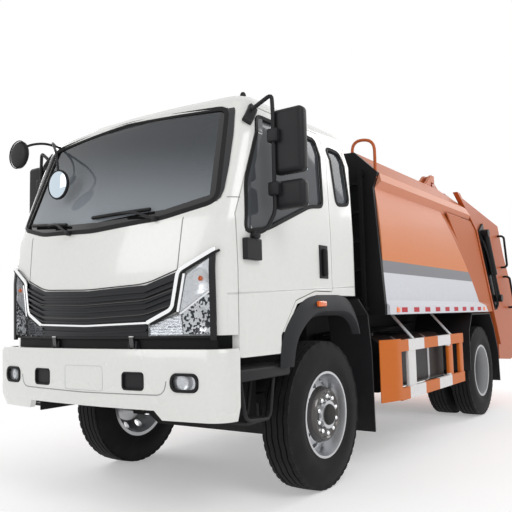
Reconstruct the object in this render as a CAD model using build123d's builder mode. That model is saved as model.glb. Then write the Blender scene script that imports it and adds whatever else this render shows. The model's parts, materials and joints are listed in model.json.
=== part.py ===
"""Rear-loading compactor garbage truck, drawn in millimetres.

X runs forward, Y to the left-hand side, Z up; the origin lies on the ground
under the middle of the overall box. Tables of outlines are measured from the
wheel centres: those of the cab from the front axle, those of the hopper from
the rear axle.
"""
import os
from math import cos, radians, sin, sqrt

from build123d import *

os.makedirs("parts", exist_ok=True)

# Axles and clearances
front_axle_x = 2200.0
wheelbase = 3700.0
tyre_radius = 510.0
rear_axle_x = front_axle_x - wheelbase
axle_z = tyre_radius
running_gap = 6.0
pin_gap = 1.0
slide_gap = 0.1
far = 6000.0

# Tyres and wheels
tyre_half = 120.0
bead_half = 104.0
bead_radius = 296.0
shoulder_drop = 24.0
tread_half = 88.0
twin_gap = 58.0
front_wheel_y = 903.0
rear_outer_y = 948.0
rear_inner_y = rear_outer_y - 2 * tyre_half - twin_gap
rear_mid_y = (rear_outer_y + rear_inner_y) / 2
kingpin_y = 770.0
kingpin_radius = 21.0
spindle_radius = 40.0
hand_holes = 10
hand_hole_radius = 27.0
hand_hole_circle = 222.0

# Ladder frame
rail_outer_y = 400.0
rail_flange = 75.0
rail_web = 9.0
rail_depth = 220.0
rail_top_z = axle_z + 450.0
rail_bottom_z = rail_top_z - rail_depth
rail_inner_y = rail_outer_y - rail_flange
rail_front_x = front_axle_x + 1240.0
rail_rear_x = rear_axle_x - 490.0

# Cab
cab_wall = 46.0
cab_rear_x = front_axle_x - 510.0
cab_rear_corner = 70.0
cab_under_z = axle_z + 590.0
cab_floor_z = cab_under_z + 60.0
seat_deck_z = axle_z + 880.0
seat_deck_depth = 52.0
seat_deck_front_x = front_axle_x + 650.0
engine_tunnel_y = 640.0
engine_tunnel_front_x = seat_deck_front_x - 60.0
# height above the axles, nose ahead of the front axle, half width, front radius, corner radius
cab_rows = [
    (430.0, 1246.0, 1040.0, 3600.0, 160.0),
    (590.0, 1250.0, 1040.0, 3600.0, 160.0),
    (970.0, 1256.0, 1040.0, 3600.0, 160.0),
    (1270.0, 1224.0, 1040.0, 3790.0, 155.0),
    (1830.0, 996.0, 1022.0, 4500.0, 125.0),
    (1990.0, 929.0, 973.0, 5000.0, 115.0),
]
crown_height = 176.0
crown_narrowing = 273.0
crown_setback = 329.0
crown_rear_setback = 60.0
crown_steps = 4
door_gap = running_gap
door_corner = 24.0
door_outline = [
    (1040.0, 452.0), (1040.0, 1290.0), (735.0, 2026.0), (-92.0, 2026.0), (-92.0, 852.0), (160.0, 852.0),
    (418.0, 786.0), (600.0, 570.0), (606.0, 452.0),
]
window_corner = 36.0
door_window = [
    (915.0, 1202.0), (895.0, 1500.0), (680.0, 1956.0), (10.0, 1956.0), (8.0, 1462.0), (200.0, 1436.0),
    (730.0, 1232.0),
]
quarter_window = [(-138.0, 1930.0), (-354.0, 1930.0), (-420.0, 1530.0), (-208.0, 1500.0)]
rear_window_half = [(0.0, 1450.0), (560.0, 1450.0), (530.0, 1890.0), (0.0, 1890.0)]
windscreen_half = [(0.0, 1266.0), (560.0, 1296.0), (915.0, 1376.0), (838.0, 2012.0), (0.0, 2056.0)]
glass_face = 12.0
glass_depth = 8.0
arch_line = [(-600.0, 828.0), (150.0, 828.0), (406.0, 766.0), (590.0, 550.0), (596.0, 390.0)]
arch_flare = [(650.0, 395.0), (646.0, 568.0), (440.0, 820.0), (170.0, 882.0), (-488.0, 882.0),
              (-500.0, 828.0)]
flare_depth = 28.0
tilt_axis_x = front_axle_x + 1200.0
tilt_axis_z = axle_z + 536.0
tilt_pin_radius = 18.0
tilt_ear = 15.0
tilt_lug_half = 17.0
tilt_lug_top = 40.0
tilt_lug_foot = 30.0
tilt_lug_z = tilt_axis_z - 16.0

# Grille and lamps, half width and height above the axles
grille_half = [
    (0.0, 876.0), (480.0, 894.0), (700.0, 964.0), (690.0, 730.0), (490.0, 660.0), (490.0, 590.0),
    (0.0, 590.0),
]
grille_depth = 6.0
slat_depth = 22.0
slat_thickness = 12.0
slat_pitch = 33.0
slat_count = 8
slat_foot = 604.0
slat_kink = (480.0, 14.0)
slat_end = (700.0, 80.0)
headlamp_face = [
    (712.0, 968.0), (918.0, 1068.0), (926.0, 670.0), (905.0, 590.0), (505.0, 590.0), (499.0, 650.0),
    (700.0, 720.0),
]
headlamp_depth = 16.0

# Bumper: height above the axles, nose ahead of the front axle, half width
bumper_rows = [(108.0, 1270.0, 1026.0), (190.0, 1296.0, 1046.0), (490.0, 1300.0, 1050.0),
               (514.0, 1290.0, 1040.0)]
bumper_front_radius = 6000.0
bumper_corner_radius = 140.0
bumper_wall = 42.0
bumper_rear_x = front_axle_x + 1060.0
bumper_arch = [(0.0, 60.0), (650.0, 60.0), (570.0, 164.0), (0.0, 164.0)]
lamp_z = axle_z + 328.0
fog_y = 790.0
fog_size = (190.0, 108.0)
fog_corner = 40.0
fog_set_in = 14.0
fog_depth = 30.0
tow_y = 421.0
tow_size = (170.0, 108.0)
tow_corner = 22.0
tow_pin_radius = 16.0
tow_pin_x = front_axle_x + 1200.0
tow_pin_y = tow_y + 8.0

# Load body
body_front_x = front_axle_x - 800.0
bulkhead_depth = 40.0
body_floor_z = axle_z + 680.0
body_floor_depth = 70.0
body_inner_y = 970.0
body_edge_y = 1131.0
body_eave = 1835.0
pocket_inner_y = 985.0
collar_outer_y = 1116.0
collar_plate = 16.0
roof_outer = [(body_edge_y, body_eave), (930.0, 2030.0), (0.0, 2070.0)]
roof_inner = [(body_inner_y, body_eave), (860.0, 1970.0), (0.0, 2010.0)]

# Parting line between body and hopper, from the roof down, and the collar's front edge
part_gap = 12.0
part_points = [(1020.0, 2080.0), (171.0, 1621.0), (-640.0, 263.0)]
collar_edge = [(1170.0, 1715.0), (200.0, 885.0), (-60.0, 752.0), (-60.0, 680.0)]

# Hopper hinge
hinge_x = rear_axle_x + 940.0
hinge_z = axle_z + 2130.0
hinge_pin_radius = 20.0
hinge_bracket = [(1210.0, 2020.0), (1030.0, 2020.0), (1000.0, 2094.0), (894.0, 2094.0), (894.0, 2174.0),
                 (980.0, 2174.0)]
hinge_arm = [(975.0, 2166.0), (900.0, 2166.0), (500.0, 1990.0), (500.0, 1930.0), (740.0, 1960.0),
             (860.0, 2096.0), (975.0, 2096.0)]
hinge_arm_y = 850.0
hinge_arm_half = 16.0
hinge_ear = 30.0
hinge_ear_gap = 8.0

# Hopper
hopper_outer_y = 1100.0
hopper_plate = 25.0
hopper_inner_y = hopper_outer_y - hopper_plate
flange_outer_y = 1128.0
flange_width = 46.0
hood_front_height = 1986.0
hood_top = (-930.0, 1790.0)
hood_foot = (-1140.0, 1420.0)
hood_sheet = 38.0
hood_hem = 6.0
hood_nose = 60.0
trough_centre = (-1192.0, 660.0)
trough_radius = 610.0
trough_wall = 45.0
trough_toe = (-652.0, 90.0)
lip_height = 610.0
sill_height = 752.0
ram_well_rear_x = rear_axle_x + 170.0

# Packer
packer_top = (-330.0, 1570.0)
packer_length = 560.0
packer_depth = 60.0
packer_side_gap = 35.0
packer_half_y = hopper_inner_y - packer_side_gap
blade_length = 470.0
blade_tube_radius = 45.0
blade_pin_radius = 20.0

# Lift cylinders
lift_foot = (rear_axle_x + 210.0, axle_z + 1010.0)
lift_eye = (rear_axle_x + 440.0, axle_z + 1860.0)
lift_y = 1030.0
lift_pin_radius = 18.0
barrel_radius = 38.0
rod_radius = 26.0
eye_radius = 36.0
gland_gap = 80.0

# Bin lifter
lifter_x = rear_axle_x - 1845.0
lifter_z = axle_z + 550.0
lifter_half_y = 620.0
lifter_tube_radius = 42.0
lifter_shaft_radius = 29.0
lifter_lug = 30.0
comb_rear_x = rear_axle_x - 2000.0


def from_front(points):
    """Outline measured from the front wheel centre, moved into the truck's frame."""
    return [(front_axle_x + x, axle_z + z) for x, z in points]


def from_rear(points):
    """Outline measured from the rear wheel centre, moved into the truck's frame."""
    return [(rear_axle_x + x, axle_z + z) for x, z in points]


def above_axles(points):
    """Cross section with heights measured from the wheel centres, moved into the truck's frame."""
    return [(y, axle_z + z) for y, z in points]


def both_halves(points):
    """Close a half cross section over the centre line."""
    return points + [(-y, z) for y, z in reversed(points) if y > 0]


def side_plane(y):
    """Plane across Y whose sketch axes are X and Z."""
    return Plane(origin=(0.0, y, 0.0), x_dir=(1, 0, 0), z_dir=(0, -1, 0))


def slab(plane, outline, depth, mode=Mode.ADD, corner=0.0):
    """Extrude a closed outline off a plane, with its corners rounded if asked."""
    with BuildSketch(plane) as face:
        with BuildLine():
            Polyline(*outline, close=True)
        make_face()
        if corner:
            fillet(face.vertices(), corner)
    extrude(face.sketch, amount=depth, mode=mode)


def side_slab(outline, y_one, y_two, mode=Mode.ADD, corner=0.0):
    """Extrude an X-Z outline between two widths."""
    slab(side_plane(max(y_one, y_two)), outline, abs(y_two - y_one), mode, corner)


def cross_slab(outline, x_low, x_high, mode=Mode.ADD, corner=0.0):
    """Extrude a Y-Z outline between two stations along the truck."""
    plane = Plane(origin=(x_low, 0.0, 0.0), x_dir=(0, 1, 0), z_dir=(1, 0, 0))
    slab(plane, outline, x_high - x_low, mode, corner)


def plan_slab(outline, z_low, z_high, mode=Mode.ADD):
    """Extrude an X-Y outline between two heights."""
    slab(Plane.XY.offset(z_low), outline, z_high - z_low, mode)


def block(x_low, x_high, y_one, y_two, z_low, z_high, mode=Mode.ADD):
    """Plain bar given by its limits."""
    plan_slab([(x_low, y_one), (x_high, y_one), (x_high, y_two), (x_low, y_two)], z_low, z_high, mode)


def rod(start, end, radius, mode=Mode.ADD):
    """Round bar between two points."""
    run = Vector(*end) - Vector(*start)
    with BuildSketch(Plane(origin=start, z_dir=run)) as disc:
        Circle(radius)
    extrude(disc.sketch, amount=run.length, mode=mode)


def cross_rod(point, y_one, y_two, radius, mode=Mode.ADD):
    """Round bar across the truck at an X-Z point."""
    rod((point[0], y_one, point[1]), (point[0], y_two, point[1]), radius, mode)


def slanted_rod(start, end, y, radius, mode=Mode.ADD):
    """Round bar between two X-Z points at one width."""
    rod((start[0], y, start[1]), (end[0], y, end[1]), radius, mode)


def tube(points, radius, bend):
    """Round bar swept along a path with rounded corners."""
    with BuildLine() as path:
        FilletPolyline(*points, radius=bend)
    with BuildSketch(Plane(origin=path.line @ 0, z_dir=path.line % 0)) as disc:
        Circle(radius)
    sweep(disc.sketch, path=path.line)


def turned(profile, centre, mode=Mode.ADD):
    """Revolve a radius-width profile about a cross axis through a centre."""
    with BuildSketch(Plane(origin=centre, x_dir=(1, 0, 0), z_dir=(0, 0, 1))) as half:
        with BuildLine():
            Polyline(*profile, close=True)
        make_face()
    revolve(half.sketch, axis=Axis(centre, (0, 1, 0)), mode=mode)


def rounded_window(x, y, z, size, corner, depth, mode=Mode.ADD):
    """Rounded rectangle facing forward, extruded rearwards from a point."""
    with BuildSketch(Plane(origin=(x, y, z), x_dir=(0, 1, 0), z_dir=(1, 0, 0))) as face:
        RectangleRounded(size[0], size[1], corner)
    extrude(face.sketch, amount=-depth, mode=mode)


def along(point, direction, distance):
    """Point a distance away along a direction in the X-Z plane."""
    return (point[0] + direction[0] * distance, point[1] + direction[1] * distance)


def bow_section(nose, half, front_radius, corner_radius, rear, rear_corner):
    """Closed plan with a bowed front, round front corners, straight sides and round rear corners."""
    reach = sqrt((front_radius - corner_radius) ** 2 - (half - corner_radius) ** 2)
    corner_x = nose - front_radius + reach
    share = front_radius / (front_radius - corner_radius)
    meet = (nose - front_radius + reach * share, (half - corner_radius) * share)
    out = Vector(meet[0] - corner_x, meet[1] - half + corner_radius).normalized() + Vector(0, 1)
    bend = Vector(corner_x, half - corner_radius) + out.normalized() * corner_radius
    sag = rear_corner * (1 - sqrt(0.5))
    with BuildSketch(mode=Mode.PRIVATE) as plan:
        with BuildLine():
            ThreePointArc((meet[0], -meet[1]), (nose, 0), meet)
            ThreePointArc(meet, (bend.X, bend.Y), (corner_x, half))
            Line((corner_x, half), (rear + rear_corner, half))
            ThreePointArc((rear + rear_corner, half), (rear + sag, half - sag), (rear, half - rear_corner))
            Line((rear, half - rear_corner), (rear, rear_corner - half))
            ThreePointArc((rear, rear_corner - half), (rear + sag, sag - half), (rear + rear_corner, -half))
            Line((rear + rear_corner, -half), (corner_x, -half))
            ThreePointArc((corner_x, -half), (bend.X, -bend.Y), (meet[0], -meet[1]))
        make_face()
    return plan.sketch


def cab_solid(inset):
    """Outer form of the cab, shrunk on every face by an inset."""
    sections = []
    for height, nose, half, front_radius, corner_radius in cab_rows:
        plan = bow_section(front_axle_x + nose - inset, half - inset, front_radius - inset,
                           corner_radius - inset,
                           cab_rear_x + inset, cab_rear_corner - inset)
        sections.append(Plane.XY.offset(axle_z + height) * plan)
    for step in range(1, crown_steps + 1):
        turn = radians(90.0 * step / crown_steps)
        drawn = 1 - cos(turn)
        plan = bow_section(front_axle_x + nose - crown_setback * drawn - inset,
                           half - crown_narrowing * drawn - inset,
                           front_radius - inset, corner_radius - inset,
                           cab_rear_x + crown_rear_setback * drawn + inset, cab_rear_corner - inset)
        sections.append(Plane.XY.offset(axle_z + height + crown_height * sin(turn) - inset) * plan)
    with BuildPart() as form:
        loft(sections, ruled=True)
    return form.part


def cab_skin(outer, inner):
    """Skin of the cab form between two insets."""
    with BuildPart() as skin:
        add(cab_solid(outer))
        add(cab_solid(inner), mode=Mode.SUBTRACT)
    return skin.part


def bumper_solid(inset, rear):
    """Outer form of the bumper, shrunk by an inset and closed at a rear station."""
    sections = []
    for height, nose, half in bumper_rows:
        plan = bow_section(front_axle_x + nose - inset, half - inset, bumper_front_radius - inset,
                           bumper_corner_radius - inset, rear, pin_gap)
        sections.append(Plane.XY.offset(axle_z + height) * plan)
    with BuildPart() as form:
        loft(sections, ruled=True)
    return form.part


def part_line(gap):
    """Parting line in the truck's frame, moved rearwards and square to itself by a gap."""
    top, knee, foot = from_rear(part_points)
    upper = Vector(knee[0] - top[0], knee[1] - top[1]).normalized()
    lower = Vector(foot[0] - knee[0], foot[1] - knee[1]).normalized()
    upper_out = (upper.Y, -upper.X)
    lower_out = (lower.Y, -lower.X)
    mean = ((upper_out[0] + lower_out[0]) / 2, (upper_out[1] + lower_out[1]) / 2)
    return [along(top, upper_out, gap), along(knee, mean, gap), along(foot, lower_out, gap)]


def at_height(line, leg, z):
    """Point at a height on one leg of a parting line."""
    low, high = line[leg + 1], line[leg]
    share = (z - low[1]) / (high[1] - low[1])
    return (low[0] + share * (high[0] - low[0]), z)


def keep(piece, name):
    """Label a finished piece and write its file."""
    piece.part.label = name
    export_step(piece.part, "parts/" + name + ".step")


# Space behind the parting line
body_rear = part_line(0.0)
tail_drop = (body_rear[2][0] - 300.0, body_rear[2][1] - 540.0)
behind_parting = [(body_rear[0][0], far), *body_rear, tail_drop, (-far, tail_drop[1]), (-far, far)]

# Ladder frame with tow brackets at its front end
web_y = rail_outer_y - rail_web
tow_bracket = (rail_front_x - 90.0, rail_front_x, tow_y - 35.0, tow_y + 35.0, lamp_z - 40.0, lamp_z + 40.0)
with BuildPart() as frame_rails:
    cross_slab([
        (rail_inner_y, rail_bottom_z), (rail_outer_y, rail_bottom_z), (rail_outer_y, rail_top_z),
        (rail_inner_y, rail_top_z), (rail_inner_y, rail_top_z - rail_web), (web_y, rail_top_z - rail_web),
        (web_y, rail_bottom_z + rail_web), (rail_inner_y, rail_bottom_z + rail_web),
    ], rail_rear_x, rail_front_x)
    block(*tow_bracket)
    rod((tow_pin_x, tow_pin_y, tow_bracket[4]), (tow_pin_x, tow_pin_y, tow_bracket[5]), tow_pin_radius,
        Mode.SUBTRACT)
    mirror(about=Plane.XZ)
keep(frame_rails, "frame_rails")

crossmember_half = 40.0
crossmember_drop = 40.0
crossmember_depth = 140.0
gearbox_member_depth = 60.0
middle_members = 4
member_rows = [(front_axle_x + 1100.0, crossmember_depth), (body_front_x + 80.0, gearbox_member_depth),
               (rear_axle_x - 380.0, crossmember_depth)]
member_pitch = (body_front_x - rear_axle_x - 1060.0) / (middle_members - 1)
for place in range(middle_members):
    member_rows.append((rear_axle_x + 440.0 + member_pitch * place, crossmember_depth))
with BuildPart() as crossmembers:
    for x, depth in member_rows:
        top = rail_top_z - crossmember_drop
        block(x - crossmember_half, x + crossmember_half, -web_y, web_y, top - depth, top)
keep(crossmembers, "crossmembers")

spring_y = 440.0
spring_half = 35.0
spring_pack = 70.0
leaf = 30.0
shackle_half = 50.0
shackle_head = 60.0
# axle, half length, seat above the axle, eye above the axle
spring_rows = [(front_axle_x, 640.0, 50.0, 190.0), (rear_axle_x, 440.0, 90.0, 230.0)]
with BuildPart() as leaf_springs:
    for x, reach, seat, eye in spring_rows:
        seat_z, eye_z = axle_z + seat, axle_z + eye
        with BuildSketch(side_plane(spring_y + spring_half)) as pack:
            with BuildLine():
                ThreePointArc((x - reach, eye_z), (x, seat_z + spring_pack), (x + reach, eye_z))
                Line((x + reach, eye_z), (x + reach, eye_z - leaf))
                ThreePointArc((x + reach, eye_z - leaf), (x, seat_z), (x - reach, eye_z - leaf))
                Line((x - reach, eye_z - leaf), (x - reach, eye_z))
            make_face()
        extrude(pack.sketch, amount=2 * spring_half)
        for tip in (x - reach, x + reach):
            side_slab([(tip - shackle_half / 2, eye_z - leaf), (tip + shackle_half / 2, eye_z - leaf),
                       (tip + shackle_half, rail_top_z - shackle_head),
                       (tip - shackle_half, rail_top_z - shackle_head)],
                      rail_outer_y, spring_y + spring_half)
    mirror(about=Plane.XZ)
keep(leaf_springs, "leaf_springs")

beam_half = 55.0
beam_boss = 42.0
beam_boss_half = 65.0
boss_lap = 10.0
beam_upper = [(700.0, 90.0), (640.0, 30.0), (560.0, -80.0)]
beam_lower = [(540.0, -170.0), (600.0, -130.0), (700.0, -70.0)]
spring_pad_low = axle_z - 90.0
with BuildPart() as front_axle:
    cross_slab(above_axles(beam_upper + [(-y, z) for y, z in reversed(beam_upper)]
                           + [(-y, z) for y, z in reversed(beam_lower)] + beam_lower),
               front_axle_x - beam_half, front_axle_x + beam_half)
    for side in (-1, 1):
        pin = (front_axle_x, side * kingpin_y)
        rod((*pin, axle_z - beam_boss_half), (*pin, axle_z + beam_boss_half), beam_boss)
        block(front_axle_x - beam_half, front_axle_x + beam_half, side * (beam_upper[0][0] - boss_lap),
              side * kingpin_y,
              axle_z - beam_boss_half, axle_z + beam_boss_half)
        rod((*pin, 0.0), (*pin, rail_top_z), kingpin_radius + pin_gap, Mode.SUBTRACT)
        block(front_axle_x - beam_half, front_axle_x + beam_half, side * (spring_y - spring_half),
              side * (spring_y + spring_half), spring_pad_low, axle_z + spring_rows[0][2])
keep(front_axle, "front_axle")

pinion_x = rear_axle_x + 250.0
axle_tube_radius = 75.0
axle_tube_y = rear_mid_y - 27.0
stub_y = rear_mid_y + 116.0
pinion_radius = 70.0
# radius, width of the final drive housing
drive_housing = [(0.0, -110.0), (150.0, -110.0), (215.0, -40.0), (215.0, 40.0), (150.0, 110.0),
                 (0.0, 110.0)]
spring_seat_half = 85.0
with BuildPart() as rear_axle:
    cross_rod((rear_axle_x, axle_z), -axle_tube_y, axle_tube_y, axle_tube_radius)
    turned(drive_housing, (rear_axle_x, 0.0, axle_z))
    cross_rod((rear_axle_x, axle_z), -stub_y, stub_y, spindle_radius)
    rod((rear_axle_x, 0.0, axle_z), (pinion_x, 0.0, axle_z), pinion_radius)
    for side in (-1, 1):
        block(rear_axle_x - spring_seat_half, rear_axle_x + spring_seat_half,
              side * (spring_y - spring_half),
              side * (spring_y + spring_half), axle_z, axle_z + spring_rows[1][2])
keep(rear_axle, "rear_axle")

# Engine block, gearbox and the shaft to the rear axle
engine_front_x = front_axle_x + 560.0
engine_rear_x = front_axle_x - 140.0
engine_half_y = 310.0
engine_low_z = axle_z + 190.0
engine_high_z = axle_z + 730.0
gearbox_x = body_front_x + 140.0
gearbox_half_y = 200.0
gearbox_low_z = engine_low_z + 20.0
gearbox_high_z = engine_low_z + 260.0
bell_high_z = engine_low_z + 380.0
gearbox_shaft_z = axle_z + 266.0
shaft_radius = 45.0
flange_radius = 60.0
flange_depth = 10.0
engine_mount = (engine_rear_x + 240.0, engine_rear_x + 340.0, rail_bottom_z + 60.0, rail_bottom_z + 120.0)
with BuildPart() as engine:
    block(engine_rear_x, engine_front_x, -engine_half_y, engine_half_y, engine_low_z, engine_high_z)
    side_slab([(engine_rear_x, engine_low_z), (gearbox_x, gearbox_low_z),
               (gearbox_x, gearbox_high_z),
               (engine_rear_x, bell_high_z)], -gearbox_half_y, gearbox_half_y)
    for side in (-1, 1):
        block(engine_mount[0], engine_mount[1], side * engine_half_y, side * web_y, engine_mount[2],
              engine_mount[3])
keep(engine, "engine")

with BuildPart() as propshaft:
    rod((gearbox_x - flange_depth / 2, 0.0, gearbox_shaft_z), (pinion_x + flange_depth / 2, 0.0, axle_z),
        shaft_radius)
    rod((gearbox_x - 2 * flange_depth, 0.0, gearbox_shaft_z), (gearbox_x, 0.0, gearbox_shaft_z),
        flange_radius)
    rod((pinion_x, 0.0, axle_z), (pinion_x + 2 * flange_depth, 0.0, axle_z), flange_radius)
keep(propshaft, "propshaft")

tank_section = [(420.0, 50.0), (1050.0, 50.0), (1050.0, 440.0), (960.0, 500.0), (420.0, 500.0)]
tank_corner = 45.0
tank_front_x = body_front_x - 70.0
tank_length = 1510.0
hanger_half = 30.0
hanger_margin = 20.0
tank_hangers = [tank_front_x - 380.0, tank_front_x - 1080.0]
with BuildPart() as fuel_tank:
    cross_slab(above_axles(tank_section), tank_front_x - tank_length, tank_front_x, corner=tank_corner)
    for x in tank_hangers:
        block(x - hanger_half, x + hanger_half, rail_outer_y, tank_section[0][0],
              rail_bottom_z + hanger_margin,
              rail_top_z - hanger_margin)
keep(fuel_tank, "fuel_tank")

battery_length = 570.0
battery_y = (440.0, 1040.0)
battery_z = (axle_z + 70.0, axle_z + 490.0)
air_tank_length = 750.0
air_tank_rear_x = tank_front_x - 1480.0
# width, height above the axles, radius
air_tanks = [(640.0, 250.0, 140.0), (930.0, 190.0, 120.0)]
strap_low_z = rail_bottom_z + 60.0
strap_high_z = rail_bottom_z + 120.0
battery_bracket = (tank_front_x - 330.0, tank_front_x - 270.0)
strap_places = [air_tank_rear_x + 210.0, air_tank_rear_x + 550.0]
with BuildPart() as battery_box:
    block(tank_front_x - battery_length, tank_front_x, -battery_y[1], -battery_y[0], *battery_z)
    for y, height, radius in air_tanks:
        rod((air_tank_rear_x, -y, axle_z + height), (air_tank_rear_x + air_tank_length, -y,
                                                     axle_z + height), radius)
    for x in strap_places:
        block(x - hanger_half, x + hanger_half, -air_tanks[1][0], -rail_outer_y, strap_low_z, strap_high_z)
    block(*battery_bracket, -battery_y[0], -rail_outer_y, strap_low_z, strap_high_z)
keep(battery_box, "battery_box")

# Front bumper: a bowed shell with lamp seats, tow holes and brackets to the rails
bumper_face_x = front_axle_x + bumper_rows[2][1]
bumper_bracket = 70.0
bumper_outer = bumper_solid(0.0, bumper_rear_x)
with BuildPart() as bumper:
    add(bumper_outer)
    add(bumper_solid(bumper_wall, bumper_rear_x - bumper_wall), mode=Mode.SUBTRACT)
    cross_slab(both_halves(above_axles(bumper_arch)), bumper_rear_x, far, Mode.SUBTRACT)
    for side in (-1, 1):
        rounded_window(far, side * fog_y, lamp_z, fog_size, fog_corner, far - bumper_rear_x, Mode.SUBTRACT)
        rounded_window(far, side * tow_y, lamp_z, tow_size, tow_corner, far - bumper_rear_x, Mode.SUBTRACT)
        block(rail_front_x, bumper_face_x - bumper_wall + slide_gap, side * (rail_inner_y - bumper_bracket),
              side * (tow_y - tow_size[0] / 2), rail_bottom_z, rail_top_z)
keep(bumper, "bumper")

with BuildPart() as fog_lamps:
    add(bumper_solid(fog_set_in, bumper_rear_x))
    add(bumper_solid(fog_set_in + fog_depth, bumper_rear_x - bumper_wall), mode=Mode.SUBTRACT)
    with BuildSketch(Plane(origin=(bumper_rear_x, 0.0, lamp_z), x_dir=(0, 1, 0),
                           z_dir=(1, 0, 0))) as lamp_faces:
        with Locations((-fog_y, 0), (fog_y, 0)):
            RectangleRounded(*fog_size, fog_corner)
    extrude(lamp_faces.sketch, amount=far, mode=Mode.INTERSECT)
keep(fog_lamps, "fog_lamps")

# Cab entry: a tread box on the frame with a step hanging under it
step_outer_y = 1010.0
step_inner_y = 800.0
hanger_outer_y = step_outer_y - 10.0
step_arm_margin = 6.0
tread_top = [(460.0, 330.0), (1040.0, 330.0), (1040.0, 376.0), (460.0, 376.0)]
hanger_frame = [(680.0, 66.0), (980.0, 66.0), (960.0, 340.0), (700.0, 340.0)]
hanger_space = [(712.0, 94.0), (948.0, 94.0), (932.0, 330.0), (728.0, 330.0)]
step_arms = [700.0, 900.0]
step_arm_width = 70.0
with BuildPart() as cab_steps:
    side_slab(from_front(tread_top), step_inner_y, step_outer_y)
    side_slab(from_front(hanger_frame), step_inner_y, hanger_outer_y)
    side_slab(from_front(hanger_space), 0.0, far, Mode.SUBTRACT)
    for x in step_arms:
        block(front_axle_x + x, front_axle_x + x + step_arm_width, rail_outer_y, step_inner_y,
              axle_z + tread_top[0][1] + step_arm_margin, axle_z + tread_top[2][1] - step_arm_margin)
    mirror(about=Plane.XZ)
keep(cab_steps, "cab_steps")

guard_inner_y = 700.0
guard_outer_y = 1050.0
guard_sheet = 16.0
fender_inner_y = 480.0
fender_outer_y = 1110.0
flap_front = [(-484.0, 796.0), (-640.0, 680.0), (-688.0, 390.0), (-700.0, -230.0)]
fender_rear = [(600.0, 50.0), (588.0, 470.0), (460.0, 650.0), (-260.0, 650.0), (-400.0, 490.0),
               (-560.0, 184.0),
               (-580.0, -170.0)]
bracket_half = 20.0
bracket_z_span = (rail_top_z - 60.0, rail_top_z - 20.0)
flap_bracket = (front_axle_x - 700.0, front_axle_x - 670.0)
fender_bracket = (rear_axle_x + 540.0, rear_axle_x + 590.0)
with BuildPart() as mudguards:
    for sheet_line, low, high in ((from_front(flap_front), guard_inner_y, guard_outer_y),
                                  (from_rear(fender_rear), fender_inner_y, fender_outer_y)):
        with BuildSketch(side_plane(high)) as sheet:
            with BuildLine() as run:
                Polyline(*sheet_line)
                offset(amount=guard_sheet, side=Side.RIGHT, kind=Kind.INTERSECTION)
            make_face()
        extrude(sheet.sketch, amount=high - low)
    block(*flap_bracket, rail_outer_y, guard_inner_y + bracket_half, *bracket_z_span)
    block(*fender_bracket, rail_outer_y, fender_inner_y + bracket_half, *bracket_z_span)
    mirror(about=Plane.XZ)
keep(mudguards, "mudguards")

# Side guard: two folded rails between posts, with a closed plate at the front
guard_face_y = 1150.0
guard_depth = 40.0
guard_fold = 8.0
guard_front_x = body_front_x + 40.0
guard_plate_length = 360.0
guard_rear_x = rear_axle_x + 860.0
guard_low_z = axle_z - 10.0
guard_rail_height = 120.0
guard_high_z = axle_z + 350.0
guard_posts = 5
guard_post_half = 35.0
with BuildPart() as side_guards:
    rail_end_x = guard_front_x - guard_plate_length
    back_y = guard_face_y - guard_depth
    block(rail_end_x, guard_front_x, back_y, guard_face_y, guard_low_z, guard_high_z + guard_rail_height)
    for low in (guard_low_z, guard_high_z):
        high = low + guard_rail_height
        block(guard_rear_x, rail_end_x, back_y, guard_face_y, low, high)
        block(guard_rear_x, rail_end_x, back_y, guard_face_y - guard_fold, low + guard_fold,
              high - guard_fold, Mode.SUBTRACT)
    spacing = (rail_end_x - guard_rear_x - 160.0) / (guard_posts - 1)
    for place in range(guard_posts):
        x = rail_end_x - place * spacing
        block(x - guard_post_half, x + guard_post_half, back_y, guard_face_y - guard_fold, guard_low_z,
              body_floor_z)
    mirror(about=Plane.XZ)
keep(side_guards, "side_guards")

# Load body
with BuildPart() as body_floor:
    block(rail_rear_x, body_front_x, -body_inner_y, body_inner_y, body_floor_z,
          body_floor_z + body_floor_depth)
    for side in (-1, 1):
        block(rail_rear_x, body_front_x, side * rail_inner_y, side * rail_outer_y, rail_top_z, body_floor_z)
    side_slab(behind_parting, -far, far, Mode.SUBTRACT)
keep(body_floor, "body_floor")

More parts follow.
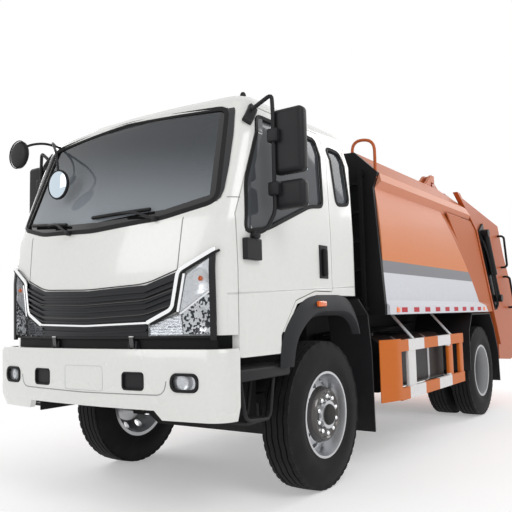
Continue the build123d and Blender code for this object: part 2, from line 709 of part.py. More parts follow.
# side wall section, half width and height above the axles: bottom rail, bowed panel, top rail
rail_foot = [(body_inner_y, 680.0), (1176.0, 680.0), (1176.0, 752.0), (1114.0, 797.0)]
panel_bow = (1127.0, 1230.0)
rail_head = [(1085.0, 1715.0), (1145.0, 1767.0), (body_edge_y, body_eave), (body_inner_y, body_eave)]
collar_front = from_rear(collar_edge)
collar_foot = [(body_rear[2][0] + 250.0, collar_front[3][1]), (body_rear[2][0] + 250.0, collar_front[2][1])]
collar_head = (body_rear[1][0] + 179.0, collar_front[0][1])
rail_notch = (lift_eye[0] - 340.0, lift_eye[0] + 180.0)
notch_z = (collar_front[0][1] - 25.0, axle_z + body_eave + 55.0)
with BuildPart() as body_walls:
    with BuildSketch(Plane(origin=(rail_rear_x, 0.0, axle_z), x_dir=(0, 1, 0), z_dir=(1, 0, 0))) as wall:
        with BuildLine():
            Polyline(*rail_foot)
            ThreePointArc(rail_foot[-1], panel_bow, rail_head[0])
            Polyline(*rail_head, rail_foot[0])
        make_face()
    extrude(wall.sketch, amount=body_front_x - rail_rear_x)
    side_slab(collar_front + [(-far, collar_front[3][1]), (-far, collar_front[0][1])], pocket_inner_y, far,
              Mode.SUBTRACT)
    side_slab(collar_front + collar_foot + [body_rear[1], collar_head], collar_outer_y - collar_plate,
              collar_outer_y)
    side_slab(behind_parting, -far, far, Mode.SUBTRACT)
    block(rail_notch[0], rail_notch[1], pocket_inner_y, collar_outer_y - collar_plate, *notch_z,
          Mode.SUBTRACT)
    cross_rod(lift_foot, pocket_inner_y, collar_outer_y, lift_pin_radius)
    mirror(about=Plane.XZ)
keep(body_walls, "body_walls")

ear_inner = hinge_arm_half + hinge_ear_gap
ear_outer = ear_inner + hinge_ear
with BuildPart() as body_roof:
    cross_slab(both_halves(above_axles(roof_outer)) + both_halves(above_axles(roof_inner))[::-1],
               rail_rear_x, body_front_x)
    side_slab(behind_parting, -far, far, Mode.SUBTRACT)
    for middle in (-hinge_arm_y, hinge_arm_y):
        for side in (-1, 1):
            side_slab(from_rear(hinge_bracket), middle + side * ear_inner, middle + side * ear_outer)
        cross_rod((hinge_x, hinge_z), middle - ear_outer, middle + ear_outer, hinge_pin_radius)
keep(body_roof, "body_roof")

# Front wall of the body with the ladder standing on it
wall_half = [(0.0, 680.0), (1150.0, 680.0), (1150.0, 752.0), (1085.0, 1715.0)] + roof_outer
ladder_y = (700.0, 1000.0)
ladder_stand = 70.0
ladder_bar = 30.0
ladder_z = (body_floor_z + 20.0, axle_z + 1870.0)
ladder_rungs = 5
rung = 26.0
bulkhead_front_x = body_front_x + bulkhead_depth
ladder_front_x = bulkhead_front_x + ladder_stand
with BuildPart() as bulkhead:
    cross_slab(both_halves(above_axles(wall_half)), body_front_x, bulkhead_front_x)
    for y in ladder_y:
        low, high = y - ladder_bar / 2, y + ladder_bar / 2
        block(ladder_front_x - ladder_bar, ladder_front_x, low, high, *ladder_z)
        for z in (ladder_z[0] + ladder_bar, ladder_z[1] - ladder_bar):
            block(bulkhead_front_x, ladder_front_x, low, high, z - ladder_bar / 2, z + ladder_bar / 2)
    rung_pitch = (ladder_z[1] - ladder_z[0]) / ladder_rungs
    for place in range(ladder_rungs):
        z = ladder_z[0] + (place + 0.5) * rung_pitch
        block(ladder_front_x - rung - 2.0, ladder_front_x - 2.0, *ladder_y, z - rung / 2, z + rung / 2)
keep(bulkhead, "bulkhead")

hoop_x = body_front_x + bulkhead_depth / 2
hoop_radius = 17.0
hoop_bend = 70.0
hoop_y = (900.0, 1112.0)
hoop_top_z = axle_z + 2154.0
hoop_feet_z = (axle_z + 1970.0, axle_z + 1820.0)
with BuildPart() as grab_hoop:
    tube([(hoop_x, hoop_y[0], hoop_feet_z[0]), (hoop_x, hoop_y[0], hoop_top_z),
          (hoop_x, hoop_y[1], hoop_top_z),
          (hoop_x, hoop_y[1], hoop_feet_z[1])], hoop_radius, hoop_bend)
    cross_slab(above_axles(roof_outer + [(0.0, 1690.0), (body_edge_y, 1690.0)]), -far, far, Mode.SUBTRACT)
keep(grab_hoop, "grab_hoop")

# Hopper, hung from the roof hinge
gap_line = part_line(part_gap)
flange_line = part_line(part_gap + flange_width)
run = Vector(gap_line[2][0] - gap_line[1][0], gap_line[2][1] - gap_line[1][1]).normalized()
slope = (run.X, run.Y)
square = (slope[1], -slope[0])
hood_front_z = axle_z + hood_front_height
hood_front = at_height(gap_line, 0, hood_front_z)
hood_rear, hood_low, trough_mid, toe = from_rear([hood_top, hood_foot, trough_centre, trough_toe])
lip_z = axle_z + lip_height
sill_z = axle_z + sill_height


def lip_x(radius):
    """Station of the loading lip on a trough circle."""
    return trough_mid[0] - sqrt(radius ** 2 - (trough_mid[1] - lip_z) ** 2)


def trough_arc(radius):
    """Round back of the trough from its lowest point up to the lip."""
    return ThreePointArc((trough_mid[0], trough_mid[1] - radius),
                         (trough_mid[0] - radius * sqrt(0.5), trough_mid[1] - radius * sqrt(0.5)),
                         (lip_x(radius), lip_z))


with BuildPart() as hopper_sides:
    with BuildSketch(side_plane(hopper_outer_y)) as cheek:
        with BuildLine():
            back = trough_arc(trough_radius)
            Polyline(back @ 1, hood_low, hood_rear, hood_front, gap_line[1], gap_line[2], toe, back @ 0)
        make_face()
    extrude(cheek.sketch, amount=hopper_plate)
    side_slab([hood_front, gap_line[1], gap_line[2], flange_line[2], flange_line[1],
               at_height(flange_line, 0, hood_front_z)],
              hopper_outer_y, flange_outer_y)
    mirror(about=Plane.XZ)
keep(hopper_sides, "hopper_sides")

inner_radius = trough_radius - trough_wall
sill = at_height(gap_line, 1, sill_z)
lug_y = (lifter_half_y + 20.0, lifter_half_y + 20.0 + lifter_lug)
lug_outline = [(-1700.0, 470.0), (-1760.0, 600.0), (-1800.0, 608.0), (-1890.0, 608.0), (-1890.0, 490.0)]
with BuildPart() as hopper_trough:
    with BuildSketch(side_plane(hopper_inner_y)) as tray:
        with BuildLine():
            back = trough_arc(trough_radius)
            face = trough_arc(inner_radius)
            Line(back @ 1, face @ 1)
            Polyline(face @ 0, along(toe, square, trough_wall), along(gap_line[2], square, trough_wall),
                     along(sill, square, trough_wall), sill, gap_line[2], toe, back @ 0)
        make_face()
    extrude(tray.sketch, amount=2 * hopper_inner_y)
    for side in (-1, 1):
        side_slab(from_rear(lug_outline), side * lug_y[0], side * lug_y[1])
        cross_rod((lifter_x, lifter_z), side * lug_y[0], side * lug_y[1], lifter_shaft_radius + pin_gap,
                  Mode.SUBTRACT)
    cross_rod(trough_mid, -hopper_inner_y, hopper_inner_y, inner_radius - pin_gap, Mode.SUBTRACT)
keep(hopper_trough, "hopper_trough")

with BuildPart() as hopper_hood:
    side_slab([hood_front, hood_rear, hood_low, (hood_low[0] + hood_sheet, hood_low[1] + hood_hem),
               (hood_rear[0] + hood_sheet, hood_rear[1] - hood_sheet),
               (hood_front[0] - hood_nose, hood_front[1] - hood_sheet)][::-1],
              -hopper_inner_y, hopper_inner_y)
    for middle in (-hinge_arm_y, hinge_arm_y):
        side_slab(from_rear(hinge_arm), middle - hinge_arm_half, middle + hinge_arm_half)
        cross_rod((hinge_x, hinge_z), middle - hinge_arm_half, middle + hinge_arm_half,
                  hinge_pin_radius + pin_gap, Mode.SUBTRACT)
    for side in (-1, 1):
        block(ram_well_rear_x, hinge_x, side * pocket_inner_y, side * hopper_inner_y, body_rear[1][1],
              hinge_z, Mode.SUBTRACT)
keep(hopper_hood, "hopper_hood")

# Packer tracks and rams on the hopper's cheeks, with the crew's grab handles
knee = body_rear[1]
track_inset = 110.0
track_width = 220.0
track_lead = 60.0
track_length = 1080.0
track_depth = 22.0
ram_inset = 220.0
ram_lead = 140.0
ram_barrel_length = 560.0
ram_length = 900.0
ram_stand = 60.0
ram_barrel_radius = 40.0
ram_rod_radius = 22.0
ram_boss_radius = 45.0
handle_stand = 80.0
handle_radius = 14.0
handle_bend = 40.0
handles = [((-880.0, 1650.0), (-980.0, 1250.0)), ((-1060.0, 1130.0), (-1260.0, 730.0))]
track_start = along(along(knee, square, track_inset), slope, track_lead)
track_end = along(track_start, slope, track_length)
ram_top = along(along(knee, square, ram_inset), slope, ram_lead)
ram_gland = along(ram_top, slope, ram_barrel_length)
ram_end = along(ram_top, slope, ram_length)
ram_y = hopper_outer_y + ram_stand
with BuildPart() as slide_tracks:
    side_slab([track_start, track_end, along(track_end, square, track_width),
               along(track_start, square, track_width)][::-1],
              hopper_outer_y, hopper_outer_y + track_depth)
    slanted_rod(ram_top, ram_gland, ram_y, ram_barrel_radius)
    slanted_rod(ram_gland, ram_end, ram_y, ram_rod_radius)
    for spot in (ram_top, ram_end):
        cross_rod(spot, hopper_outer_y + track_depth, ram_y + ram_barrel_radius, ram_boss_radius)
    for handle in handles:
        high, low = from_rear(handle)
        tube([(high[0], hopper_outer_y, high[1]), (high[0], hopper_outer_y + handle_stand, high[1]),
              (low[0], hopper_outer_y + handle_stand, low[1]), (low[0], hopper_outer_y, low[1])],
              handle_radius, handle_bend)
    mirror(about=Plane.XZ)
keep(slide_tracks, "slide_tracks")

tail_lamp = [(-1640.0, 330.0), (-1700.0, 449.0), (-1806.0, 449.0), (-1752.0, 330.0)]
tail_lamp_y = (760.0, 1060.0)
with BuildPart() as tail_lamps:
    side_slab(from_rear(tail_lamp), *tail_lamp_y)
    cross_rod(trough_mid, tail_lamp_y[0], tail_lamp_y[1], trough_radius, Mode.SUBTRACT)
    mirror(about=Plane.XZ)
keep(tail_lamps, "tail_lamps")

# Packer carriage with runner shoes, and the blade that sweeps below it
carriage_top, = from_rear([packer_top])
carriage_end = along(carriage_top, slope, packer_length)
hub = along(carriage_end, square, packer_depth / 2)
hub_arm = (-80.0, 40.0)
hub_arm_width = 60.0
hub_arm_gap = 8.0
hub_room = 70.0
shoe_runs = [(20.0, 120.0), (packer_length - 60.0, packer_length + 30.0)]


def on_slope(start, end):
    """Outline of a plate on the carriage between two distances down the slope."""
    low, high = along(carriage_top, slope, start), along(carriage_top, slope, end)
    return [along(low, square, packer_depth), along(high, square, packer_depth), high, low]


with BuildPart() as packer_carriage:
    side_slab(on_slope(0.0, packer_length - hub_room), -packer_half_y, packer_half_y)
    for side in (-1, 1):
        side_slab(on_slope(packer_length + hub_arm[0], packer_length + hub_arm[1]),
                  side * (packer_half_y - hub_arm_width), side * packer_half_y)
        for start, end in shoe_runs:
            side_slab(on_slope(start, end), side * (packer_half_y - 1.0),
                      side * (hopper_inner_y - slide_gap))
    cross_rod(hub, -packer_half_y, packer_half_y, blade_pin_radius + pin_gap, Mode.SUBTRACT)
keep(packer_carriage, "packer_carriage")

blade_half_y = packer_half_y - hub_arm_width - hub_arm_gap
blade_thick = 24.0
blade_edge = 6.0
blade_curl = 70.0
with BuildPart() as sweep_blade:
    cross_rod(hub, -packer_half_y, packer_half_y, blade_pin_radius)
    cross_rod(hub, -blade_half_y, blade_half_y, blade_tube_radius)
    with BuildSketch(side_plane(blade_half_y)) as scoop:
        with BuildLine():
            tip = along(hub, slope, blade_length)
            mid = along(hub, slope, blade_length / 2)
            ThreePointArc(along(hub, square, -blade_thick), along(mid, square, -blade_curl),
                          along(tip, square, -blade_thick))
            Line(along(tip, square, -blade_thick), along(tip, square, blade_edge))
            ThreePointArc(along(tip, square, blade_edge), along(mid, square, blade_thick - blade_curl),
                          along(hub, square, blade_thick))
            Line(along(hub, square, blade_thick), along(hub, square, -blade_thick))
        make_face()
    extrude(scoop.sketch, amount=2 * blade_half_y)
keep(sweep_blade, "sweep_blade")

# Lift cylinders in the pockets beside the body
lift_run = Vector(lift_eye[0] - lift_foot[0], lift_eye[1] - lift_foot[1])
lift_way = (lift_run.normalized().X, lift_run.normalized().Y)
barrel_start = along(lift_foot, lift_way, lift_pin_radius)
barrel_end = along(lift_foot, lift_way, lift_run.length - gland_gap)
rod_start = along(lift_foot, lift_way, barrel_radius + lift_pin_radius)
trunnion_half = 30.0
with BuildPart() as lift_barrels:
    cross_rod(lift_foot, lift_y - trunnion_half, lift_y + trunnion_half, barrel_radius + 2.0)
    slanted_rod(barrel_start, barrel_end, lift_y, barrel_radius)
    slanted_rod(rod_start, barrel_end, lift_y, rod_radius + pin_gap, Mode.SUBTRACT)
    cross_rod(lift_foot, 0.0, far, lift_pin_radius + pin_gap, Mode.SUBTRACT)
    mirror(about=Plane.XZ)
keep(lift_barrels, "lift_barrels")

with BuildPart() as lift_rods:
    slanted_rod(along(rod_start, lift_way, pin_gap), lift_eye, lift_y, rod_radius)
    cross_rod(lift_eye, lift_y - trunnion_half, lift_y + trunnion_half, eye_radius)
    cross_rod(lift_eye, lift_y, hopper_inner_y - slide_gap, lift_pin_radius)
    mirror(about=Plane.XZ)
keep(lift_rods, "lift_rods")

# Bin lifter: a cross tube with two arms, a comb and a rest bar
lifter_arm = [(-1875.0, 535.0), (-1940.0, 480.0), (-1940.0, 130.0), (-1890.0, 130.0), (-1880.0, 480.0),
              (-1850.0, 525.0)]
lifter_arm_y = (540.0, 580.0)
comb_front_x = rear_axle_x - 1940.0
comb_z = (axle_z + 450.0, axle_z + 500.0)
comb_teeth = 9
tooth_half = 26.0
tooth_height = 34.0
tooth_depth = 20.0
rest_bar = (comb_front_x, comb_front_x + 40.0, axle_z + 130.0, axle_z + 190.0)
with BuildPart() as bin_lifter:
    cross_rod((lifter_x, lifter_z), -lifter_half_y, lifter_half_y, lifter_tube_radius)
    cross_rod((lifter_x, lifter_z), -lug_y[1], lug_y[1], lifter_shaft_radius)
    for side in (-1, 1):
        side_slab(from_rear(lifter_arm), side * lifter_arm_y[0], side * lifter_arm_y[1])
    block(comb_rear_x, comb_front_x, -lifter_half_y, lifter_half_y, *comb_z)
    tooth_pitch = (2 * lifter_half_y - 2 * tooth_half) / (comb_teeth - 1)
    for place in range(comb_teeth):
        y = tooth_half - lifter_half_y + place * tooth_pitch
        cross_slab([(y - tooth_half, comb_z[1]), (y + tooth_half, comb_z[1]),
                    (y, comb_z[1] + tooth_height)],
                   comb_rear_x, comb_rear_x + tooth_depth)
    block(rest_bar[0], rest_bar[1], -lifter_arm_y[0], lifter_arm_y[0], rest_bar[2], rest_bar[3])
keep(bin_lifter, "bin_lifter")

# Cab shell and its panes
cab_outer = cab_solid(0.0)
cab_inner = cab_solid(cab_wall)
deck_back_x = cab_rear_x + pin_gap
deck_half_y = cab_rows[0][2] - pin_gap
with BuildPart() as cab_floor:
    side_slab([(seat_deck_front_x, axle_z), (seat_deck_front_x, seat_deck_z), (deck_back_x, seat_deck_z),
               (deck_back_x, axle_z)],
              -deck_half_y, deck_half_y)
    side_slab([(seat_deck_front_x, cab_under_z), (seat_deck_front_x, cab_floor_z), (far, cab_floor_z),
               (far, cab_under_z)],
              -deck_half_y, deck_half_y)
    add(cab_outer, mode=Mode.INTERSECT)

with BuildPart() as cab_shell:
    add(cab_outer)
    add(cab_inner, mode=Mode.SUBTRACT)
    add(cab_floor.part)
    side_slab(from_front(arch_line + [(arch_line[0][0], arch_line[-1][1])]), -far, far, Mode.SUBTRACT)
    block(0.0, engine_tunnel_front_x, -engine_tunnel_y, engine_tunnel_y, axle_z,
          seat_deck_z - seat_deck_depth, Mode.SUBTRACT)
    block(0.0, far, -far, far, axle_z, cab_under_z, Mode.SUBTRACT)
    for side in (-1, 1):
        side_slab(from_front(door_outline), side * engine_tunnel_y, side * far, Mode.SUBTRACT, door_corner)
        side_slab(from_front(quarter_window), side * engine_tunnel_y, side * far, Mode.SUBTRACT,
                  window_corner)
        middle = side * (rail_inner_y + rail_outer_y) / 2
        side_slab([(tilt_axis_x - tilt_lug_top, cab_under_z), (tilt_axis_x + tilt_lug_top, cab_under_z),
                   (tilt_axis_x + tilt_lug_foot, tilt_lug_z),
                   (tilt_axis_x - tilt_lug_foot, tilt_lug_z)], middle - tilt_lug_half,
                   middle + tilt_lug_half)
        cross_rod((tilt_axis_x, tilt_axis_z), middle - tilt_lug_half, middle + tilt_lug_half,
                  tilt_pin_radius + pin_gap,
                  Mode.SUBTRACT)
    cross_slab(both_halves(above_axles(rear_window_half)), 0.0, front_axle_x, Mode.SUBTRACT)
    cross_slab(both_halves(above_axles(windscreen_half)), front_axle_x, far, Mode.SUBTRACT)
keep(cab_shell, "cab_shell")

glass_skin = cab_skin(glass_face, glass_face + glass_depth)


def side_pane(outline, side):
    """Pane following the cab's side inside one opening."""
    with BuildPart() as sheet:
        add(glass_skin)
        side_slab(from_front(outline), side * engine_tunnel_y, side * far, Mode.INTERSECT, window_corner)
    return sheet.part


def end_pane(half_outline, x_low, x_high):
    """Pane following the cab's front or back inside one opening."""
    with BuildPart() as sheet:
        add(glass_skin)
        cross_slab(both_halves(above_axles(half_outline)), x_low, x_high, Mode.INTERSECT)
    return sheet.part


with BuildPart() as cab_glass:
    add(end_pane(windscreen_half, front_axle_x, far))
    add(end_pane(rear_window_half, 0.0, front_axle_x))
    add(side_pane(quarter_window, 1))
    add(side_pane(quarter_window, -1))
keep(cab_glass, "cab_glass")


def slat(place):
    """Outline of one grille slat, level in the middle and rising to the lamps."""
    foot = slat_foot + place * slat_pitch
    half = [(0.0, foot), (slat_kink[0], foot + slat_kink[1]), (slat_end[0], foot + slat_end[1])]
    top = [(y, z + slat_thickness) for y, z in half]
    return above_axles(half + top[::-1])


grille_outline = both_halves(above_axles(grille_half))
with BuildPart() as slat_fill:
    for place in range(slat_count):
        cross_slab(slat(place), front_axle_x, far)
    mirror(about=Plane.YZ.rotated((0, 0, 90)))
    cross_slab(grille_outline, front_axle_x, far, Mode.INTERSECT)

with BuildPart() as grille_slats:
    add(cab_skin(-slat_depth, 0.0))
    add(slat_fill.part, mode=Mode.INTERSECT)

with BuildPart() as grille:
    add(cab_skin(-grille_depth, 0.0))
    cross_slab(grille_outline, front_axle_x, far, Mode.INTERSECT)
    add(grille_slats.part)
keep(grille, "grille")

with BuildPart() as headlamps:
    add(cab_skin(-headlamp_depth, 0.0))
    with BuildSketch(Plane(origin=(front_axle_x, 0.0, axle_z), x_dir=(0, 1, 0),
                           z_dir=(1, 0, 0))) as lamp_pair:
        with BuildLine():
            Polyline(*headlamp_face, close=True)
        make_face()
        mirror(about=Plane.YZ)
    extrude(lamp_pair.sketch, amount=far, mode=Mode.INTERSECT)
keep(headlamps, "headlamps")

cab_side_y = cab_rows[0][2]
with BuildPart() as arch_trims:
    side_slab(from_front(arch_flare + arch_line[1:]), cab_side_y, cab_side_y + flare_depth)
    side_slab(from_front(door_outline), engine_tunnel_y, far, Mode.SUBTRACT, door_corner)
    mirror(about=Plane.XZ)
keep(arch_trims, "arch_trims")

# Seats, dashboard and steering wheel
seat_rows_y = [(-860.0, -340.0), (-300.0, 180.0), (330.0, 850.0)]
seat_profile = [(560.0, 880.0), (590.0, 1050.0), (100.0, 1040.0), (-40.0, 1630.0), (-150.0, 1630.0),
                (-30.0, 880.0)]
dash_profile = [(1240.0, 990.0), (1240.0, 1230.0), (980.0, 1250.0), (880.0, 1190.0), (910.0, 990.0)]
dash_half_y = 840.0
column_y = 590.0
column_foot = (920.0, 1090.0)
column_head = (730.0, 1280.0)
column_radius = 30.0
wheel_ring_radius = 210.0
wheel_rim_radius = 15.0
with BuildPart() as cab_interior:
    for y_low, y_high in seat_rows_y:
        side_slab(from_front(seat_profile), y_low, y_high)
    side_slab(from_front(dash_profile), -dash_half_y, dash_half_y)
    foot, head = from_front([column_foot, column_head])
    slanted_rod(foot, head, column_y, column_radius)
    column = Vector(head[0] - foot[0], 0, head[1] - foot[1])
    with Locations(Plane(origin=(head[0], column_y, head[1]), x_dir=(0, 1, 0), z_dir=column)):
        Torus(wheel_ring_radius, wheel_rim_radius)
        Box(2 * wheel_ring_radius, 2 * wheel_rim_radius, wheel_rim_radius)
    add(cab_inner, mode=Mode.INTERSECT)
keep(cab_interior, "cab_interior")

# Round kerb mirrors on bent arms at the far front corner
kerb_arm_radius = 10.0
kerb_bend = 40.0
kerb_disc_radius = 105.0
kerb_disc_depth = 30.0
kerb_root = (800.0, -800.0, 2020.0)
kerb_elbow = (1100.0, -800.0, 1990.0)
kerb_outer = (1100.0, -980.0, 1960.0)
kerb_fork = (1000.0, -800.0, 2000.0)
kerb_inner_elbow = (1170.0, -420.0, 1890.0)
kerb_inner = (1170.0, -420.0, 1640.0)


def front_point(place):
    """Point measured from the front wheel centre, moved into the truck's frame."""
    return (front_axle_x + place[0], place[1], axle_z + place[2])


with BuildPart() as kerb_mirrors:
    tube([front_point(place) for place in (kerb_root, kerb_elbow, kerb_outer)], kerb_arm_radius, kerb_bend)
    tube([front_point(place) for place in (kerb_fork, kerb_inner_elbow, kerb_inner)], kerb_arm_radius,
         kerb_bend)
    for place in (kerb_outer, kerb_inner):
        x, y, z = front_point(place)
        rod((x - kerb_disc_depth / 2, y, z), (x + kerb_disc_depth / 2, y, z), kerb_disc_radius)
    add(cab_outer, mode=Mode.SUBTRACT)
keep(kerb_mirrors, "kerb_mirrors")

# Doors with their glass and mirror arms
door_skin = cab_skin(0.0, cab_wall)
mirror_x = 780.0
mirror_arm_radius = 13.0
mirror_bend = 40.0
mirror_arm = [(960.0, 1890.0), (1130.0, 2000.0), (1130.0, 1330.0), (960.0, 1130.0)]
mirror_y = (1110.0, 1340.0)
mirror_heads = [(1560.0, 1970.0), (1350.0, 1536.0)]
mirror_corner = 34.0
mirror_half_depth = 30.0


def door_leaf(side):
    """Door as deep as the cab wall, with its window cut."""
    with BuildPart() as leaf:
        add(door_skin)
        with BuildSketch(side_plane(max(side * engine_tunnel_y, side * far))) as outline:
            with BuildLine():
                Polyline(*from_front(door_outline), close=True)
            make_face()
            fillet(outline.vertices(), door_corner)
            offset(amount=-door_gap, kind=Kind.INTERSECTION)
        extrude(outline.sketch, amount=far - engine_tunnel_y, mode=Mode.INTERSECT)
        side_slab(from_front(door_window), side * engine_tunnel_y, side * far, Mode.SUBTRACT, window_corner)
    return leaf.part


def mirror_set(side):
    """Mirror arm with a tall and a wide-angle head, carried by a door."""
    x = front_axle_x + mirror_x
    with BuildPart() as arm:
        tube([(x, side * y, axle_z + z) for y, z in mirror_arm], mirror_arm_radius, mirror_bend)
        for low, high in mirror_heads:
            cross_slab(above_axles([(side * mirror_y[0], low), (side * mirror_y[1], low),
                                    (side * mirror_y[1], high),
                                    (side * mirror_y[0], high)]),
                       x - mirror_half_depth, x + mirror_half_depth, corner=mirror_corner)
        add(cab_outer, mode=Mode.SUBTRACT)
    return arm.part


for side, word in ((1, "left"), (-1, "right")):
    with BuildPart() as door:
        add(door_leaf(side))
    keep(door, "door_" + word)
    with BuildPart() as door_glass:
        add(side_pane(door_window, side))
    keep(door_glass, "door_glass_" + word)
    with BuildPart() as door_mirror:
        add(mirror_set(side))
    keep(door_mirror, "mirror_" + word)

# Cab mounts on the frame: pivot ears with a pin in front, rest posts behind
ear_outline = [(tilt_axis_x - 55.0, rail_top_z), (tilt_axis_x + 40.0, rail_top_z),
               (tilt_axis_x + 24.0, tilt_axis_z + 24.0),
               (tilt_axis_x - 24.0, tilt_axis_z + 24.0)]
rest_post = (cab_rear_x + 30.0, cab_rear_x + 100.0)
with BuildPart() as cab_mounts:
    for y in (rail_inner_y, rail_outer_y - tilt_ear):
        side_slab(ear_outline, y, y + tilt_ear)
    cross_rod((tilt_axis_x, tilt_axis_z), rail_inner_y, rail_outer_y, tilt_pin_radius)
    block(rest_post[0], rest_post[1], rail_inner_y, rail_outer_y, rail_top_z, seat_deck_z - seat_deck_depth)
    mirror(about=Plane.XZ)
keep(cab_mounts, "cab_mounts")

# Steering knuckles, wheels and tyres
hub_bore = spindle_radius + pin_gap
rim_half = 110.0
# radius, width outboard of the wheel's middle
front_disc = [
    (hub_bore, -60.0), (hub_bore, 126.0), (95.0, 126.0), (110.0, 70.0), (190.0, 64.0), (252.0, 10.0),
    (280.0, rim_half),
    (bead_radius, rim_half), (bead_radius, -rim_half), (270.0, -rim_half), (240.0, -20.0), (180.0, 40.0),
    (100.0, 40.0),
    (100.0, -60.0),
]
twin_offset = rear_mid_y - rear_inner_y
twin_edge = twin_offset + rim_half
twin_disc = [
    (hub_bore, -20.0), (hub_bore, 140.0), (105.0, 140.0), (112.0, 20.0), (200.0, 18.0), (262.0, 40.0),
    (270.0, twin_edge),
    (bead_radius, twin_edge), (bead_radius, twin_edge - 2 * rim_half), (270.0, 20.0), (240.0, 0.0),
    (270.0, -20.0),
    (bead_radius, 2 * rim_half - twin_edge), (bead_radius, -twin_edge), (270.0, -twin_edge), (262.0, -60.0),
    (200.0, -20.0),
]
tyre_half_ring = [(bead_radius, bead_half), (bead_radius + 60.0, tyre_half),
                  (tyre_radius - 100.0, tyre_half),
                  (tyre_radius - shoulder_drop, tyre_half - 12.0), (tyre_radius, tread_half)]
tyre_ring = tyre_half_ring + [(radius, -width) for radius, width in reversed(tyre_half_ring)]
knuckle_half = 50.0
knuckle_arm_z = (beam_boss_half + running_gap, 110.0)
knuckle_y = (818.0, 838.0)
spindle_y = front_wheel_y + 97.0
for side, word in ((1, "left"), (-1, "right")):
    hub_centre = (front_axle_x, side * front_wheel_y, axle_z)
    twin_centre = (rear_axle_x, side * rear_mid_y, axle_z)
    pin = (front_axle_x, side * kingpin_y)
    with BuildPart() as knuckle:
        rod((*pin, axle_z - knuckle_arm_z[1]), (*pin, axle_z + knuckle_arm_z[1]), kingpin_radius)
        for low, high in (knuckle_arm_z, (-knuckle_arm_z[1], -knuckle_arm_z[0])):
            block(front_axle_x - knuckle_half, front_axle_x + knuckle_half,
                  side * (kingpin_y - knuckle_half),
                  side * knuckle_y[1], axle_z + low, axle_z + high)
        block(front_axle_x - knuckle_half, front_axle_x + knuckle_half, side * knuckle_y[0],
              side * knuckle_y[1],
              axle_z - knuckle_arm_z[1], axle_z + knuckle_arm_z[1])
        cross_rod((front_axle_x, axle_z), side * knuckle_y[0], side * spindle_y, spindle_radius)
    keep(knuckle, "knuckle_" + word)
    with BuildPart() as wheel:
        turned([(radius, side * width) for radius, width in front_disc], hub_centre)
        with BuildSketch(side_plane(hub_centre[1])) as holes:
            with Locations((front_axle_x, axle_z)):
                with PolarLocations(hand_hole_circle, hand_holes):
                    Circle(hand_hole_radius)
        extrude(holes.sketch, amount=rim_half, both=True, mode=Mode.SUBTRACT)
    keep(wheel, "wheel_front_" + word)
    with BuildPart() as tyre:
        turned(tyre_ring, hub_centre)
    keep(tyre, "tyre_front_" + word)
    with BuildPart() as twin_wheel:
        turned([(radius, side * width) for radius, width in twin_disc], twin_centre)
    keep(twin_wheel, "wheel_rear_" + word)
    with BuildPart() as twin_tyres:
        for y in (rear_inner_y, rear_outer_y):
            turned(tyre_ring, (rear_axle_x, side * y, axle_z))
    keep(twin_tyres, "tyres_rear_" + word)
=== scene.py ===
"""Looks of a rear loading compactor garbage truck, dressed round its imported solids."""
import json
import logging
import math
from dataclasses import dataclass
from enum import Enum
from typing import Callable, Optional, Sequence, Union

import bmesh
import bpy
import numpy as np
from mathutils import Matrix, Vector


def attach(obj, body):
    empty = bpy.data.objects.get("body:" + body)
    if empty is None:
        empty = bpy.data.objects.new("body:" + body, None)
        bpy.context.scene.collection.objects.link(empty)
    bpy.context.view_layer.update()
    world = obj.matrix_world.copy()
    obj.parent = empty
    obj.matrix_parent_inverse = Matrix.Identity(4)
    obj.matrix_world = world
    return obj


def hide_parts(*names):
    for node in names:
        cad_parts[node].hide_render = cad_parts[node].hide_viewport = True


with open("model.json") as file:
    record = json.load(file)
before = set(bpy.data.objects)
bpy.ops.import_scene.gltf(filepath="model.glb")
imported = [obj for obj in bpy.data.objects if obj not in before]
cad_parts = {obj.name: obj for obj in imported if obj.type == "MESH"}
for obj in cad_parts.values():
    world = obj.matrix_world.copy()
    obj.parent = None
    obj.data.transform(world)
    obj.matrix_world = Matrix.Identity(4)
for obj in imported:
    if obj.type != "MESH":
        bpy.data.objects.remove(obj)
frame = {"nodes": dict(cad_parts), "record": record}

LOG = logging.getLogger("refuse_truck")
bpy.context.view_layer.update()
Array = np.ndarray
Material = bpy.types.Material
Socket = bpy.types.NodeSocket
Number = Union[int, float]
Term = Union["Shade", int, float]
Colour = tuple[float, float, float]
Point = tuple[float, float, float]
Pair = tuple[float, float]
Path = tuple[Pair, ...]
Block = tuple[Point, Point, float, int]

# Places shared with the solids, in metres
FRONT_AXLE_X = 2.2
REAR_AXLE_X = -1.5
AXLE_Z = 0.51
FRONT_WHEEL_Y = 0.903
REAR_OUTER_Y = 0.948
REAR_INNER_Y = 0.650


class Side(Enum):
    """Side of the truck, with the sign of its Y."""

    LEFT = 1.0
    RIGHT = -1.0

    @property
    def word(self) -> str:
        """Lower-case name used in node and piece names."""
        return self.name.lower()


class Axis(Enum):
    """Axis that a profile is turned about."""

    X = "x"
    Y = "y"
    Z = "z"


